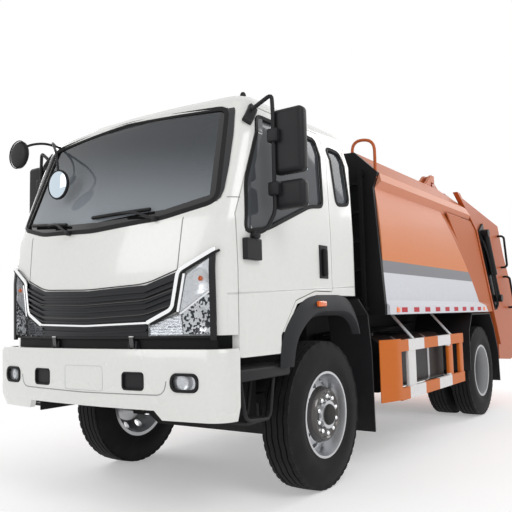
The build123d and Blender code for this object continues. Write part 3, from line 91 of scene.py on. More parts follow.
class Shade:
    """A number on the shader tree that takes part in Python sums."""

    def __init__(self, tree: "Tree", socket: Socket) -> None:
        """Hold a socket and the tree that it belongs to."""
        self.tree = tree
        self.socket = socket

    def _maths(self, operation: str, *terms: Term) -> "Shade":
        """Add one Math node over the terms.

        Args:
            operation: Name of the Math node's operation.
            terms: Shades or plain numbers, in socket order.

        Returns:
            The result as a new shade.
        """
        node = self.tree.node("ShaderNodeMath", {"operation": operation}, dict(enumerate(terms)))
        return Shade(self.tree, node.outputs[0])

    def __add__(self, other: Term) -> "Shade":
        """Sum."""
        return self._maths("ADD", self, other)

    __radd__ = __add__

    def __sub__(self, other: Term) -> "Shade":
        """Difference."""
        return self._maths("SUBTRACT", self, other)

    def __rsub__(self, other: Number) -> "Shade":
        """Difference from a number."""
        return self._maths("SUBTRACT", other, self)

    def __mul__(self, other: Term) -> "Shade":
        """Product."""
        return self._maths("MULTIPLY", self, other)

    __rmul__ = __mul__

    def __truediv__(self, other: Term) -> "Shade":
        """Quotient."""
        return self._maths("DIVIDE", self, other)

    def __gt__(self, other: Term) -> "Shade":
        """One where the shade is above the other."""
        return self._maths("GREATER_THAN", self, other)

    def __lt__(self, other: Term) -> "Shade":
        """One where the shade is below the other."""
        return self._maths("LESS_THAN", self, other)

    def __abs__(self) -> "Shade":
        """Size without sign."""
        return self._maths("ABSOLUTE", self)

    def or_more(self, other: Term) -> "Shade":
        """The larger of the two."""
        return self._maths("MAXIMUM", self, other)

    def wrapped(self, period: Number) -> "Shade":
        """Share of the way through a repeating period, from 0 to 1."""
        return self._maths("FRACT", self / period)

    def between(self, low: Number, high: Number) -> "Shade":
        """One between two limits."""
        return (self > low) * (self < high)

    def ramp(self, low: Number, high: Number) -> "Shade":
        """Smooth step from 0 at one limit to 1 at the other.

        Args:
            low: Where the step starts.
            high: Where it ends.

        Returns:
            The step.
        """
        node = self.tree.node("ShaderNodeMapRange", {"interpolation_type": "SMOOTHSTEP"},
                              {"Value": self, "From Min": low, "From Max": high})
        return Shade(self.tree, node.outputs[0])


Input = Union[Shade, Number, Sequence[float], Socket]


class Tree:
    """Node tree of one material or world."""

    def __init__(self, owner: Union[Material, bpy.types.World]) -> None:
        """Start with the owner's tree emptied.

        Args:
            owner: Material or world that the tree belongs to.
        """
        self.owner = owner
        owner.use_nodes = True
        self.made = owner.node_tree
        self.made.nodes.clear()

    @classmethod
    def of_material(cls, name: str) -> "Tree":
        """Tree of a new material."""
        return cls(bpy.data.materials.new(name))

    def node(self, kind: str, settings: dict[str, object], inputs: dict[Union[str, int], Input]) -> bpy.types.Node:
        """Add a node, set it up and feed it.

        Args:
            kind: Blender's type name of the node.
            settings: Attributes set before anything is linked.
            inputs: Socket names or numbers with a value, a shade or a socket.

        Returns:
            The new node.
        """
        made = self.made.nodes.new(kind)
        for key, value in settings.items():
            setattr(made, key, value)
        for key, value in inputs.items():
            socket = made.inputs[key]
            if isinstance(value, Shade):
                self.made.links.new(value.socket, socket)
            elif isinstance(value, Socket):
                self.made.links.new(value, socket)
            elif socket.type == "RGBA":
                socket.default_value = (*value, 1.0)
            else:
                socket.default_value = value
        return made

    def object_place(self) -> Socket:
        """Object coordinates of the shaded point."""
        return self.node("ShaderNodeTexCoord", {}, {}).outputs["Object"]

    def place(self) -> tuple[Shade, Shade, Shade]:
        """X, Y and Z of the shaded point in the truck's own frame."""
        parts = self.node("ShaderNodeSeparateXYZ", {}, {0: self.object_place()})
        return tuple(Shade(self, parts.outputs[axis]) for axis in range(3))

    def noise(self, scale: float, detail: float = 3.0, stretch: Point = (1.0, 1.0, 1.0)) -> Shade:
        """Cloudy pattern from 0 to 1.

        Args:
            scale: Blotches to the metre.
            detail: Layers of finer blotches.
            stretch: Scale along each axis before the pattern is read.

        Returns:
            The pattern.
        """
        place = self.node("ShaderNodeMapping", {}, {"Vector": self.object_place(), "Scale": stretch})
        made = self.node("ShaderNodeTexNoise", {}, {"Vector": place.outputs[0], "Scale": scale, "Detail": detail})
        return Shade(self, made.outputs[0])

    def facets(self, scale: float) -> Shade:
        """Random value from 0 to 1 in each cell of a broken-up pattern.

        Args:
            scale: Cells to the metre.

        Returns:
            The value.
        """
        made = self.node("ShaderNodeTexVoronoi", {}, {"Vector": self.object_place(), "Scale": scale})
        parts = self.node("ShaderNodeSeparateColor", {}, {0: made.outputs["Color"]})
        return Shade(self, parts.outputs[0])

    def mix(self, share: Input, first: Input, second: Input) -> Socket:
        """Blend two colours.

        Args:
            share: Zero for the first colour, one for the second.
            first: Colour or colour socket.
            second: Colour or colour socket.

        Returns:
            The blended colour's socket.
        """
        return self.node("ShaderNodeMix", {"data_type": "RGBA"}, {0: share, 6: first, 7: second}).outputs[2]

    def bump(self, height: Shade, depth: float) -> Socket:
        """Surface normal pushed about by a height pattern.

        Args:
            height: Pattern from 0 to 1.
            depth: Height in metres of a full step.

        Returns:
            The normal's socket.
        """
        return self.node("ShaderNodeBump", {}, {"Height": height, "Distance": depth, "Strength": 1.0}).outputs[0]

    def principled(self, colour: Input, inputs: dict[str, Input]) -> Socket:
        """Add the main shader.

        Args:
            colour: Base colour or its socket.
            inputs: Further sockets of the shader.

        Returns:
            The shader's socket.
        """
        return self.node("ShaderNodeBsdfPrincipled", {}, {"Base Color": colour, **inputs}).outputs[0]

    def seen(self) -> Shade:
        """One for rays that show the background: from the camera, off gloss and through glass.

        Returns:
            One or nothing.
        """
        path = self.node("ShaderNodeLightPath", {}, {})
        camera, gloss, through = (Shade(self, path.outputs[name]) for name in (
            "Is Camera Ray", "Is Glossy Ray", "Is Transmission Ray"))
        return camera.or_more(gloss).or_more(through)

    def finish(self, shader: Socket) -> Material:
        """Connect the last shader and hand the material over."""
        self.node("ShaderNodeOutputMaterial", {}, {"Surface": shader})
        return self.owner


@dataclass(frozen=True)
class Paint:
    """Sprayed coach paint with faint orange peel and road dust low down."""

    name: str
    colour: Colour
    gloss: float = 0.28
    coat: float = 0.5
    dust: Colour = (0.40, 0.37, 0.33)
    dust_heights: Pair = (0.2, 1.0)
    dust_share: float = 0.22
    shine: float = 0.5
    peel_scale: float = 420.0
    peel_depth: float = 0.00006
    mottle: float = 0.05
    mottle_dark: float = 0.6

    def tint(self, tree: Tree) -> Input:
        """Colour of the paint before dust."""
        return self.colour

    def relief(self, tree: Tree) -> tuple[Shade, float]:
        """Height pattern of the sprayed skin and its depth."""
        return tree.noise(self.peel_scale, 1.0), self.peel_depth

    def material(self) -> Material:
        """Build the paint's shader.

        Returns:
            The material.
        """
        tree = Tree.of_material(self.name)
        _, _, height = tree.place()
        blotch = tree.noise(2.2, 4.0)
        low = (1.0 - height.ramp(*self.dust_heights)) * blotch.ramp(0.25, 0.75) * self.dust_share
        darker = tuple(self.mottle_dark * part for part in self.colour)
        paint = tree.mix(tree.noise(38.0, 2.0).ramp(0.3, 0.7) * self.mottle, self.tint(tree), darker)
        rough = self.gloss + blotch * 0.06 + low * 0.5
        return tree.finish(tree.principled(tree.mix(low, paint, self.dust), {
            "Roughness": rough, "Normal": tree.bump(*self.relief(tree)), "Coat Weight": self.coat * (1.0 - low),
            "Coat Roughness": 0.06, "Specular IOR Level": self.shine,
        }))


@dataclass(frozen=True)
class CabPaint(Paint):
    """Cab paint with the swage line pressed along the doors and the black skirt under the lamps."""

    swage_x: float = 3.29
    swage_z: float = 1.345
    swage_rise: float = 0.048
    swage_width: float = 0.020
    swage_depth: float = 0.013
    flank_y: float = 0.99
    skirt_z: float = 1.072
    skirt_x: float = 3.246
    lug_x: float = 3.370
    lug_rise: float = 0.022
    skirt: Colour = (0.010, 0.010, 0.011)

    def tint(self, tree: Tree) -> Input:
        """Paint above the skirt, black below it at the nose.

        Args:
            tree: Tree of the paint.

        Returns:
            The colour.
        """
        along, _, height = tree.place()
        top = (along > self.lug_x) * self.lug_rise + self.skirt_z
        return tree.mix((height < top) * (along > self.skirt_x), self.colour, self.skirt)

    def relief(self, tree: Tree) -> tuple[Shade, float]:
        """Step that rises rearwards along the flank.

        Args:
            tree: Tree of the paint.

        Returns:
            The height pattern and its depth.
        """
        along, across, height = tree.place()
        line = height + (along - self.swage_x) * self.swage_rise
        step = (1.0 - line.ramp(self.swage_z - self.swage_width, self.swage_z)) * (abs(across) > self.flank_y)
        return step, self.swage_depth


@dataclass(frozen=True)
class BodyPaint(Paint):
    """Body side paint: orange panel with painted reflection and shade, grey line, silver foot and red reflector blocks
    along the rail.
    """

    outside_y: float = 1.072
    pale_heights: Pair = (1.6, 2.2)
    rail_z: float = 2.22
    line_low: float = 1.53
    line_high: float = 1.63
    silver_low: float = 1.150
    line_colour: Colour = (0.24, 0.25, 0.27)
    silver: Colour = (0.70, 0.72, 0.77)
    red: Colour = (0.50, 0.012, 0.03)
    # painted sky reflection: the pale tone that the panel takes higher up
    pale: Colour = (0.70, 0.285, 0.175)
    # painted shade on the rear collar and on faces inboard of the outer flank
    dark: Colour = (0.50, 0.125, 0.035)
    block_y: float = 1.17
    block_heights: Pair = (1.206, 1.247)
    block_first: float = 1.16
    block_last: float = -1.25
    block_pitch: float = 0.275
    block_share: float = 0.47
    collar_lean: float = 1.2267
    collar_reach: float = 2.9316

    def tint(self, tree: Tree) -> Input:
        """Orange with a painted sky reflection that pales it upwards and painted shade that darkens the collar, with
        the bands and the reflector blocks below it.

        Args:
            tree: Tree of the paint.

        Returns:
            The colour.
        """
        along, across, height = tree.place()
        outside = abs(across) > self.outside_y
        # painted shade: behind this leaning edge, and on faces inboard of the flank, the orange turns dark
        edge = along - height * self.collar_lean + self.collar_reach
        field = (edge > 0.0) * outside
        # painted sky reflection: the orange pales upwards
        orange = tree.mix(field, self.dark, tree.mix(height.ramp(*self.pale_heights), self.colour, self.pale))
        # painted reflection: the top rail takes the pale tone as well
        rail = tree.mix((height > self.rail_z) * outside, orange, self.pale)
        lined = tree.mix(height.between(self.line_low, self.line_high) * field, rail, self.line_colour)
        foot = tree.mix(height.between(self.silver_low, self.line_low) * field, lined, self.silver)
        block = (self.block_first - along).wrapped(self.block_pitch) < self.block_share
        block = block * height.between(*self.block_heights) * (along < self.block_first)
        return tree.mix(block * (along > self.block_last) * (abs(across) > self.block_y), foot, self.red)


@dataclass(frozen=True)
class GuardPaint(Paint):
    """Guard paint: two white blocks on the orange rails."""

    white: Colour = (0.80, 0.80, 0.80)
    blocks: tuple[Pair, Pair] = ((0.60, 0.975), (-0.135, 0.235))
    upper_foot: float = 0.866
    lower_head: float = 0.600

    def tint(self, tree: Tree) -> Input:
        """Orange with the white blocks: the first over the full height, the second on the rails only.

        Args:
            tree: Tree of the paint.

        Returns:
            The colour.
        """
        along, _, height = tree.place()
        first, second = (along.between(*block) for block in self.blocks)
        on_rail = (height > self.upper_foot).or_more(height < self.lower_head)
        return tree.mix(first + second * on_rail, self.colour, self.white)


@dataclass(frozen=True)
class DishPaint(Paint):
    """Wheel paint that goes dark deep in the dish."""

    grime: Colour = (0.10, 0.10, 0.105)
    dish_y: Pair = (0.86, 1.04)

    def tint(self, tree: Tree) -> Input:
        """Grey at the rim, dark towards the disc."""
        _, across, _ = tree.place()
        # darker towards the disc, deep in the dish
        return tree.mix(abs(across).ramp(*self.dish_y), self.grime, self.colour)


@dataclass(frozen=True)
class Plastic:
    """Moulded plastic with a fine grain."""

    name: str
    colour: Colour
    rough: float = 0.5
    grain: float = 0.00012
    dust: Colour = (0.28, 0.26, 0.24)
    dust_heights: Pair = (0.2, 1.2)
    dust_share: float = 0.03
    shine: float = 0.2

    def material(self) -> Material:
        """Build the plastic's shader.

        Returns:
            The material.
        """
        tree = Tree.of_material(self.name)
        _, _, height = tree.place()
        blotch = tree.noise(5.0, 5.0)
        low = (1.0 - height.ramp(*self.dust_heights)) * blotch.ramp(0.35, 0.8) * self.dust_share
        colour = tree.mix(low + blotch * 0.01, self.colour, self.dust)
        return tree.finish(tree.principled(colour, {
            "Roughness": self.rough + blotch * 0.16, "Normal": tree.bump(tree.noise(900.0, 2.0), self.grain),
            "Specular IOR Level": self.shine,
        }))


@dataclass(frozen=True)
class Cloth:
    """Woven seat cover with a fine weave."""

    name: str
    colour: Colour
    threads: float = 260.0

    def material(self) -> Material:
        """Build the cover's shader.

        Returns:
            The material.
        """
        tree = Tree.of_material(self.name)
        along, across, height = tree.place()
        weave = abs((along * self.threads + height * self.threads).wrapped(1.0) - 0.5) + abs(
            (across * self.threads).wrapped(1.0) - 0.5)
        colour = tree.mix(weave * 0.12, self.colour, tuple(part * 0.45 for part in self.colour))
        return tree.finish(tree.principled(colour, {"Roughness": 0.9, "Normal": tree.bump(tree.noise(30.0), 0.002)}))


@dataclass(frozen=True)
class Rubber:
    """Tyre rubber, dusty in patches."""

    name: str
    colour: Colour = (0.009, 0.009, 0.010)
    dust: Colour = (0.10, 0.092, 0.082)

    def material(self) -> Material:
        """Build the rubber's shader.

        Returns:
            The material.
        """
        tree = Tree.of_material(self.name)
        blotch = tree.noise(7.0, 6.0)
        colour = tree.mix(blotch.ramp(0.4, 0.85) * 0.12, self.colour, self.dust)
        return tree.finish(tree.principled(colour, {
            "Roughness": 0.58 + blotch * 0.25, "Normal": tree.bump(tree.noise(160.0, 3.0), 0.0004),
            "Specular IOR Level": 0.18,
        }))


@dataclass(frozen=True)
class Metal:
    """Bare or plated metal with wipe marks."""

    name: str
    colour: Colour
    rough: float = 0.25
    wear: float = 0.12

    def material(self) -> Material:
        """Build the metal's shader.

        Returns:
            The material.
        """
        tree = Tree.of_material(self.name)
        wipe = tree.noise(14.0, 4.0, (1.0, 6.0, 1.0))
        colour = tree.mix(wipe * self.wear * 2.0, self.colour, tuple(part * 0.5 for part in self.colour))
        return tree.finish(tree.principled(colour, {
            "Metallic": 1.0, "Roughness": self.rough + wipe * self.wear,
            "Normal": tree.bump(tree.noise(300.0), 0.00005),
        }))


@dataclass(frozen=True)
class Reflector:
    """Plated lamp bowl broken into small facets, some of them dark."""

    name: str
    cells: float
    dark_share: float
    bright: Colour = (0.88, 0.89, 0.91)
    dark: Colour = (0.05, 0.055, 0.065)

    def material(self) -> Material:
        """Build the bowl's shader.

        Returns:
            The material.
        """
        tree = Tree.of_material(self.name)
        cell = tree.facets(self.cells)
        colour = tree.mix(cell < self.dark_share, self.bright, self.dark)
        return tree.finish(tree.principled(colour, {
            "Metallic": 0.45, "Roughness": 0.10 + cell * 0.2, "Normal": tree.bump(cell, 0.003),
        }))


@dataclass(frozen=True)
class Glass:
    """Tinted pane: see-through face on, mirror-like at a glance, with a thin film of haze; on the windscreen the film
    carries a painted reflection.
    """

    name: str
    tint: Colour
    film: float
    haze: Colour = (0.02, 0.023, 0.027)
    printed: Colour = (0.012, 0.012, 0.013)

    def edge(self, tree: Tree) -> Optional[Shade]:
        """One where the pane is printed black."""
        return None

    def veil(self, tree: Tree) -> Input:
        """Colour of the haze; the windscreen swaps it for a painted reflection."""
        return self.haze

    def material(self) -> Material:
        """Build the pane's shader.

        Returns:
            The material.
        """
        tree = Tree.of_material(self.name)
        clear = tree.node("ShaderNodeBsdfTransparent", {}, {"Color": self.tint}).outputs[0]
        edge = self.edge(tree)
        veil = self.veil(tree) if edge is None else tree.mix(edge, self.veil(tree), self.printed)
        shine = tree.principled(veil, {"Roughness": 0.03 + tree.noise(6.0, 3.0) * 0.03, "Specular IOR Level": 0.6})
        facing = Shade(tree, tree.node("ShaderNodeLayerWeight", {}, {"Blend": 0.25}).outputs["Fresnel"])
        share = facing * (1.0 - self.film) + self.film
        if edge is not None:
            share = share.or_more(edge)
        return tree.finish(tree.node("ShaderNodeMixShader", {}, {0: share, 1: clear, 2: shine}).outputs[0])


@dataclass(frozen=True)
class Screen(Glass):
    """Windscreen glass with a printed border and a painted reflection, light low down and dark at the head; the cab's
    small panes share it without a border.
    """

    foot: float = 0.060
    foot_lines: tuple[Pair, Pair] = ((0.0536, 1.776), (0.2254, 1.6798))
    head: float = 0.026
    head_line: Pair = (0.0525, 2.566)
    flank: float = 0.062
    flank_line: Pair = (0.1211, 0.915)
    flank_z: float = 1.886
    rear_x: float = 2.7
    # painted reflection: its dark tone at the head, the heights of the blend and its lean across
    shaded: Colour = (0.075, 0.083, 0.094)
    shade_heights: Pair = (1.78, 2.46)
    shade_lean: float = 0.16

    def veil(self, tree: Tree) -> Input:
        """Painted reflection: light low down, dark towards the head of the screen and leaning across it.

        Args:
            tree: Tree of the pane.

        Returns:
            The colour.
        """
        _, across, height = tree.place()
        # painted reflection: the light haze tone low down blends into the dark tone at the head
        return tree.mix((height + across * self.shade_lean).ramp(*self.shade_heights), self.haze, self.shaded)

    def edge(self, tree: Tree) -> Optional[Shade]:
        """Border: below the rising foot line, above the head line or beyond the leaning flank line.

        Args:
            tree: Tree of the pane.

        Returns:
            One on the border.
        """
        along, across, height = tree.place()
        reach = abs(across)
        middle, corner = (reach * slope + start for slope, start in self.foot_lines)
        below = height < middle.or_more(corner) + self.foot
        above = height + reach * self.head_line[0] > self.head_line[1] - self.head
        beside = reach + (height - self.flank_z) * self.flank_line[0] > self.flank_line[1] - self.flank
        return below.or_more(above).or_more(beside) * (along > self.rear_x)


@dataclass(frozen=True)
class Lens:
    """Lamp plastic, coloured and glossy, with moulded flutes."""

    name: str
    colour: Colour
    glow: float = 0.0
    flute: float = 0.012

    def material(self) -> Material:
        """Build the lens's shader.

        Returns:
            The material.
        """
        tree = Tree.of_material(self.name)
        _, across, _ = tree.place()
        ribs = abs(across.wrapped(self.flute) - 0.5) * 2.0
        shade = tree.mix(ribs * 0.5, self.colour, tuple(part * 0.45 for part in self.colour))
        return tree.finish(tree.principled(shade, {
            "Roughness": 0.08, "Normal": tree.bump(ribs, 0.0015), "Coat Weight": 0.8,
            "Emission Color": shade, "Emission Strength": self.glow,
        }))


class Finish(Enum):
    """Finishes of the truck's pieces."""

    CAB_WHITE = CabPaint("cab_white", (0.76, 0.765, 0.74), gloss=0.22, coat=0.6)
    BUMPER_WHITE = Paint("bumper_white", (0.76, 0.765, 0.74), gloss=0.24, coat=0.5, dust_share=0.12)
    # grey of the panel seams, also used as painted shade in the bumper's pressed line
    SEAM_GREY = Paint("seam_grey", (0.24, 0.245, 0.24), gloss=0.6, coat=0.0)
    BODY_ORANGE = BodyPaint("body_orange", (0.72, 0.245, 0.095), gloss=0.46, coat=0.04, dust_share=0.1, shine=0.2)
    # darker copy of the body orange: painted shade on the hopper and the grab hoop
    DEEP_ORANGE = Paint("deep_orange", (0.47, 0.100, 0.022), gloss=0.40, coat=0.08, shine=0.25)
    BRIGHT_ORANGE = Paint("bright_orange", (0.55, 0.145, 0.048), gloss=0.46, coat=0.04, shine=0.2)
    GUARD_ORANGE = GuardPaint("guard_orange", (0.62, 0.150, 0.016), gloss=0.42, coat=0.05, dust_share=0.06, shine=0.2)
    BLACK_ENAMEL = Paint("black_enamel", (0.009, 0.009, 0.010), gloss=0.36, coat=0.0, dust_share=0.02, shine=0.2)
    GRILLE_BLACK = Paint("grille_black", (0.008, 0.009, 0.012), gloss=0.30, coat=0.0, dust_share=0.02, shine=0.3)
    CHASSIS_BLACK = Paint("chassis_black", (0.014, 0.014, 0.016), gloss=0.5, coat=0.0, dust_share=0.05, shine=0.2)
    CAST_BLACK = Paint("cast_black", (0.020, 0.020, 0.020), gloss=0.6, coat=0.0, dust_share=0.06, shine=0.2)
    ENGINE_GREY = Paint("engine_grey", (0.030, 0.032, 0.035), gloss=0.5, coat=0.0, dust_share=0.08, shine=0.2)
    STRUT_GREY = Paint("strut_grey", (0.50, 0.52, 0.54), gloss=0.4, coat=0.1)
    RIM_SILVER = Metal("rim_silver", (0.62, 0.63, 0.65), rough=0.26, wear=0.12)
    RIM_DARK = Metal("rim_dark", (0.105, 0.100, 0.098), rough=0.14, wear=0.10)
    RIM_GREY = DishPaint("rim_grey", (0.46, 0.47, 0.49), gloss=0.36, coat=0.1, dust_share=0.1)
    TRIM_BLACK = Plastic("trim_black", (0.014, 0.014, 0.016), rough=0.40)
    FLARE_BLACK = Plastic("flare_black", (0.022, 0.023, 0.026), rough=0.46)
    SEAL_BLACK = Plastic("seal_black", (0.010, 0.010, 0.011), rough=0.55, dust_share=0.0)
    CABIN_GREY = Plastic("cabin_grey", (0.22, 0.22, 0.225), dust_share=0.0)
    SEAT_CLOTH = Cloth("seat_cloth", (0.16, 0.165, 0.18))
    TYRE = Rubber("tyre_rubber")
    CHROME = Metal("chrome", (0.93, 0.94, 0.95), rough=0.05, wear=0.03)
    STEEL = Metal("steel", (0.52, 0.53, 0.55), rough=0.32)
    PANE = Glass("pane", (0.30, 0.33, 0.35), 0.66, (0.100, 0.108, 0.120))
    # the haze colour here is the light tone of the windscreen's painted reflection
    SCREEN = Screen("screen", (0.66, 0.71, 0.73), 0.58, (0.42, 0.46, 0.50))
    SCREEN_PRINT = Paint("screen_print", (0.012, 0.013, 0.015), gloss=0.10, coat=0.0, dust_share=0.0)
    DARK_GLASS = Paint("dark_glass", (0.070, 0.076, 0.084), gloss=0.06, coat=0.0, dust_share=0.0)
    LAMP_CLEAR = Glass("lamp_clear", (0.96, 0.97, 0.98), 0.03)
    MIRROR = Metal("mirror_face", (0.62, 0.72, 0.80), rough=0.02, wear=0.02)
    BOWL = Reflector("lamp_bowl", 74.0, 0.42)
    BRIGHT_BOWL = Reflector("bright_bowl", 34.0, 0.0)
    RIB_SILVER = Metal("rib_silver", (0.86, 0.87, 0.89), rough=0.24, wear=0.06)
    LAMP_RED = Lens("lamp_red", (0.55, 0.015, 0.012))
    LAMP_AMBER = Lens("lamp_amber", (0.85, 0.16, 0.02), glow=0.25)


_MADE: dict[str, Material] = {}


def made(finish: Finish) -> Material:
    """Material of a finish, built the first time it is asked for.

    Args:
        finish: The finish.

    Returns:
        Its material.
    """
    if finish.name not in _MADE:
        _MADE[finish.name] = finish.value.material()
    return _MADE[finish.name]


@dataclass
class Surface:
    """Points and four-sided faces of a piece in the making."""

    points: Array
    faces: Array

    @staticmethod
    def grid(points: Array, wrap_u: bool = False, wrap_v: bool = False) -> "Surface":
        """Faces over a grid of points, row by row.

        Args:
            points: Array of rows, columns and three coordinates.
            wrap_u: Whether the last row joins the first.
            wrap_v: Whether the last column joins the first.

        Returns:
            The surface.
        """
        rows, columns = points.shape[:2]
        u = np.arange(rows if wrap_u else rows - 1)
        v = np.arange(columns if wrap_v else columns - 1)
        u, v = np.meshgrid(u, v, indexing="ij")
        nu, nv = (u + 1) % rows, (v + 1) % columns
        faces = np.stack([u * columns + v, nu * columns + v, nu * columns + nv, u * columns + nv], axis=-1)
        return Surface(points.reshape(-1, 3), faces.reshape(-1, 4))

    @staticmethod
    def join(parts: Sequence["Surface"]) -> "Surface":
        """Lay several surfaces into one.

        Args:
            parts: The surfaces.

        Returns:
            One surface with all their faces.
        """
        starts = np.cumsum([0] + [len(part.points) for part in parts[:-1]])
        return Surface(
            np.concatenate([part.points for part in parts]),
            np.concatenate([part.faces + start for part, start in zip(parts, starts)]),
        )

    def mesh(self, name: str) -> bpy.types.Mesh:
        """Blender mesh of the surface.

        Args:
            name: Name of the mesh.

        Returns:
            The mesh.
        """
        made_mesh = bpy.data.meshes.new(name)
        made_mesh.from_pydata(self.points.tolist(), [], self.faces.tolist())
        made_mesh.validate()
        return made_mesh

    def ringed(self, centre: Point, count: int) -> "Surface":
        """Copies turned round a cross axis through a centre.

        Args:
            centre: Point on the axis, which runs along Y.
            count: Number of copies.

        Returns:
            All copies as one surface.
        """
        angle = np.arange(count) * 2.0 * math.pi / count
        away = self.points - np.asarray(centre)
        x = away[None, :, 0] * np.cos(angle)[:, None] + away[None, :, 2] * np.sin(angle)[:, None]
        z = -away[None, :, 0] * np.sin(angle)[:, None] + away[None, :, 2] * np.cos(angle)[:, None]
        y = np.broadcast_to(away[None, :, 1], x.shape)
        points = np.stack([x, y, z], axis=-1).reshape(-1, 3) + np.asarray(centre)
        faces = (self.faces[None] + len(self.points) * np.arange(count)[:, None, None]).reshape(-1, 4)
        return Surface(points, faces)

    def moved(self, shift: Point) -> "Surface":
        """The same surface moved as a whole."""
        return Surface(self.points + np.asarray(shift), self.faces)

    def across(self) -> "Surface":
        """The same surface on the other side of the truck."""
        return Surface(self.points * np.array([1.0, -1.0, 1.0]), self.faces[:, ::-1])

    def on(self, side: Side) -> "Surface":
        """The surface as drawn for the left, or its twin on the right."""
        return self if side is Side.LEFT else self.across()

    def both(self) -> "Surface":
        """The surface with its twin on the other side."""
        return Surface.join([self, self.across()])


def lathe(profile: Sequence[Pair], centre: Point, axis: Axis, steps: int) -> Surface:
    """Profile of radius and distance turned about an axis: each point goes round a circle of its radius.

    Args:
        profile: Pairs of radius and distance along the axis.
        centre: Where the axis starts.
        axis: Which way the axis runs.
        steps: Number of stations round the circle.

    Returns:
        The turned surface.
    """
    table = np.asarray(profile, dtype=float)
    angle = np.linspace(0.0, 2.0 * math.pi, steps, endpoint=False)
    ring = table[None, :, 0]
    first, second = ring * np.cos(angle)[:, None], ring * np.sin(angle)[:, None]
    along = np.broadcast_to(table[None, :, 1], first.shape)
    orders = {Axis.X: (along, first, second), Axis.Y: (second, along, first), Axis.Z: (first, second, along)}
    return Surface.grid(np.stack(orders[axis], axis=-1) + np.asarray(centre), wrap_u=True)


def swept(path: Array, profile: Array, up: Union[Point, Array], closed: bool = False) -> Surface:
    """Profile carried along a path: each station holds the profile square to the path, turned by the up hint.

    Args:
        path: Points along the path.
        profile: Closed outline, sideways then upwards.
        up: Direction that the profile's second axis leans to, one for all stations or one each.
        closed: Whether the path joins its own start; an open one is closed at its ends.

    Returns:
        The swept surface.
    """
    path = np.asarray(path, dtype=float)
    run = np.roll(path, -1, axis=0) - np.roll(path, 1, axis=0) if closed else np.gradient(path, axis=0)
    run /= np.linalg.norm(run, axis=1, keepdims=True)
    side = np.cross(run, np.asarray(up, dtype=float))
    side /= np.linalg.norm(side, axis=1, keepdims=True)
    rise = np.cross(side, run)
    rings = path[:, None] + profile[None, :, :1] * side[:, None] + profile[None, :, 1:] * rise[:, None]
    if not closed:
        first = np.broadcast_to(rings[:1].mean(axis=1, keepdims=True), rings[:1].shape)
        last = np.broadcast_to(rings[-1:].mean(axis=1, keepdims=True), rings[-1:].shape)
        rings = np.concatenate([first, rings, last])
    return Surface.grid(rings, wrap_u=closed, wrap_v=True)


def round_profile(radius: float, sides: int = 12) -> Array:
    """Circle of a radius as a closed outline."""
    angle = np.linspace(0.0, 2.0 * math.pi, sides, endpoint=False)
    return np.stack([radius * np.cos(angle), radius * np.sin(angle)], axis=-1)


def flat_profile(width: float, height: float) -> Array:
    """Rectangle as a closed outline."""
    return np.array([(-width, -height), (width, -height), (width, height), (-width, height)]) / 2.0


def rounded_path(corners: Sequence[Sequence[float]], radius: float, steps: int = 6, closed: bool = False) -> Array:
    """Path through corners with each inner corner eased: a quadratic blend from one side of it to the other.

    Args:
        corners: Corner points in order, in two or three coordinates.
        radius: How far before and after a corner the blend starts.
        steps: Stations on each blend.
        closed: Whether the last corner leads back to the first.

    Returns:
        Points along the path.
    """
    knots = np.asarray(corners, dtype=float)
    if closed:
        before, here, after = np.roll(knots, 1, axis=0), knots, np.roll(knots, -1, axis=0)
    else:
        before, here, after = knots[:-2], knots[1:-1], knots[2:]
    back, on = before - here, after - here
    back_length = np.linalg.norm(back, axis=1, keepdims=True)
    on_length = np.linalg.norm(on, axis=1, keepdims=True)
    enter = here + back / back_length * np.minimum(radius, back_length * 0.48)
    leave = here + on / on_length * np.minimum(radius, on_length * 0.48)
    share = np.linspace(0.0, 1.0, steps)[None, :, None]
    blend = (1 - share) ** 2 * enter[:, None] + 2 * share * (1 - share) * here[:, None] + share**2 * leave[:, None]
    blend = blend.reshape(-1, knots.shape[1])
    return blend if closed else np.concatenate([knots[:1], blend, knots[-1:]])


def evened(path: Array, step: float, closed: bool = False) -> Array:
    """Path cut into even stations by its own length.

    Args:
        path: Points along the path.
        step: Distance between stations.
        closed: Whether the path joins its own start.

    Returns:
        The even stations.
    """
    path = np.concatenate([path, path[:1]]) if closed else path
    length = np.concatenate([[0.0], np.cumsum(np.linalg.norm(np.diff(path, axis=0), axis=1))])
    places = np.linspace(0.0, length[-1], max(int(length[-1] / step), 3) + 1)
    made_path = np.stack([np.interp(places, length, path[:, axis]) for axis in range(path.shape[1])], axis=-1)
    return made_path[:-1] if closed else made_path


